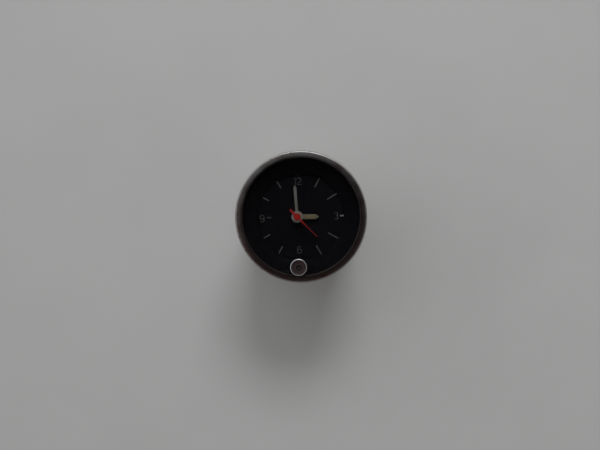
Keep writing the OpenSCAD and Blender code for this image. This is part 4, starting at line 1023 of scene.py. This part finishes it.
live_z, live_seat = back_z - INSULATOR_T, floor_top + INSULATOR_T
live = riveted_blade("live_blade", live_z, live_seat, high("power_terminal").z)
settle(place(live, BLADE_X, BLADE_Y), "case", "brass_plate", "power_terminal")
earth = riveted_blade("earth_blade", back_z, floor_top, high("earth_terminal").z)
settle(place(earth, -BLADE_X, BLADE_Y), "case", "bright_steel", "earth_terminal")
sleeve_in, sleeve_r = RIVET_R + FIT, RIVET_R + INSULATOR_T / 2
washer_r = INSULATOR_R - INSULATOR_STEP
insulator = turn("live_insulator", [
    (sleeve_in, live_z, 0), (INSULATOR_R, live_z, 0.25), (INSULATOR_R, back_z, 0), (sleeve_r, back_z, 0),
    (sleeve_r, floor_top, 0), (washer_r, floor_top, 0), (washer_r, live_seat, 0.25), (sleeve_in, live_seat, 0)],
    steps=72, about=(BLADE_X, BLADE_Y))
settle(insulator, "case", "brown_phenolic", "terminal_insulator")

# %% [markdown]
# The lamp holder is a drawn cup that plugs into the can from behind and stops against its own flange. Its
# blade stands in the middle of the cup's floor.

# %% Lamp holder
CUP_IN, CUP_FLOOR, CUP_FLANGE_W, CUP_FLANGE_T = 4.55, 1.5, 1.4, 1
PIN_R, PIN_SINK = 0.35, 0.4
cup_low, cup_top = low("lamp_holder").z, high("lamp_holder").z
cup_flange_r, cup_flange_low = LAMP_R + CUP_FLANGE_W, back_z - CUP_FLANGE_T
cup = turn("lamp_cup", [
    (sleeve_in, cup_low, 0), (LAMP_R, cup_low, 0.5), (LAMP_R, cup_flange_low, 0.15),
    (cup_flange_r, cup_flange_low, 0.3), (cup_flange_r, back_z, 0.1), (LAMP_R, back_z, 0),
    (LAMP_R, cup_top, 0.15), (CUP_IN, cup_top, 0.15), (CUP_IN, cup_low + CUP_FLOOR, 0.3),
    (sleeve_in, cup_low + CUP_FLOOR, 0)], steps=96, about=(0, LAMP_Y))
settle(cup, "case", "zinc_steel", "lamp_holder")
lamp_blade = blade("lamp_blade", cup_low)
pin_top = high("lamp_contact").z
pin = turn("pin", [
    (0, cup_low - PIN_SINK, 0), (PIN_R, cup_low - PIN_SINK, 0), (PIN_R + 0.03, cup_low, 0),
    (RIVET_R, cup_low, 0), (RIVET_R, pin_top, 0.2), (0, pin_top, 0)], closed=False, steps=48)
drill(lamp_blade, pin, operation="UNION")
settle(place(lamp_blade, 0, LAMP_Y), "case", "brass_plate", "lamp_contact")

# %% [markdown]
# Three slotted cheese-head screws hold the movement from behind. One is turned and slotted, and the other two
# are copies.

# %% Case screws
SCREW_HEAD_R, SCREW_HEAD_H, SCREW_R, SCREW_SLOT = 2.8, 1.6, 1.4, 1.0
screw_low, screw_top = back_z - SCREW_HEAD_H, high("case_screws").z
first_screw = turn("case_screw", [
    (0, screw_low, 0), (SCREW_HEAD_R, screw_low, 0.25), (SCREW_HEAD_R, back_z, 0), (SCREW_R, back_z, 0),
    (SCREW_R, screw_top, 0.2), (0, screw_top, 0)], closed=False, steps=64)
pick()
bpy.ops.mesh.primitive_cube_add(size=MM, location=(0, 0, screw_low * MM))
groove = bpy.context.object
groove.scale = (4 * SCREW_HEAD_R, SCREW_SLOT, SCREW_HEAD_H)
drill(first_screw, groove)
screws = [first_screw, copy_of(first_screw), copy_of(first_screw)]
for screw, (x, y) in zip(screws, screw_places):
    place(screw, x, y)
pick(*screws)
bpy.ops.object.transform_apply(location=True)
settle(join("case_screw_set", screws), "case", "bright_steel", "case_screws")

# %% [markdown]
# Everything that is left keeps its exact solid and takes the finish of its material slot in the record.

# %% Finishes for the solids
for row in frame["record"]["subparts"]:
    solid = frame["nodes"][row["node"]]
    solid.data.materials.clear()
    solid.data.materials.append(finishes[row["material_slot"]])

# %% [markdown]
# In a low view the lens would mirror the lamp as a white sheet over the dial. A photographer takes such glare
# away with a polarising filter. Here the lamp's light is linked to everything except the lens, while the dial
# behind it is lit as before.

# %% Glare off the lens
no_glare = bpy.data.collections.new("no_glare")
no_glare.objects.link(frame["nodes"]["lens"])
no_glare.collection_objects[0].light_linking.link_state = "EXCLUDE"
lamp.light_linking.receiver_collection = no_glare
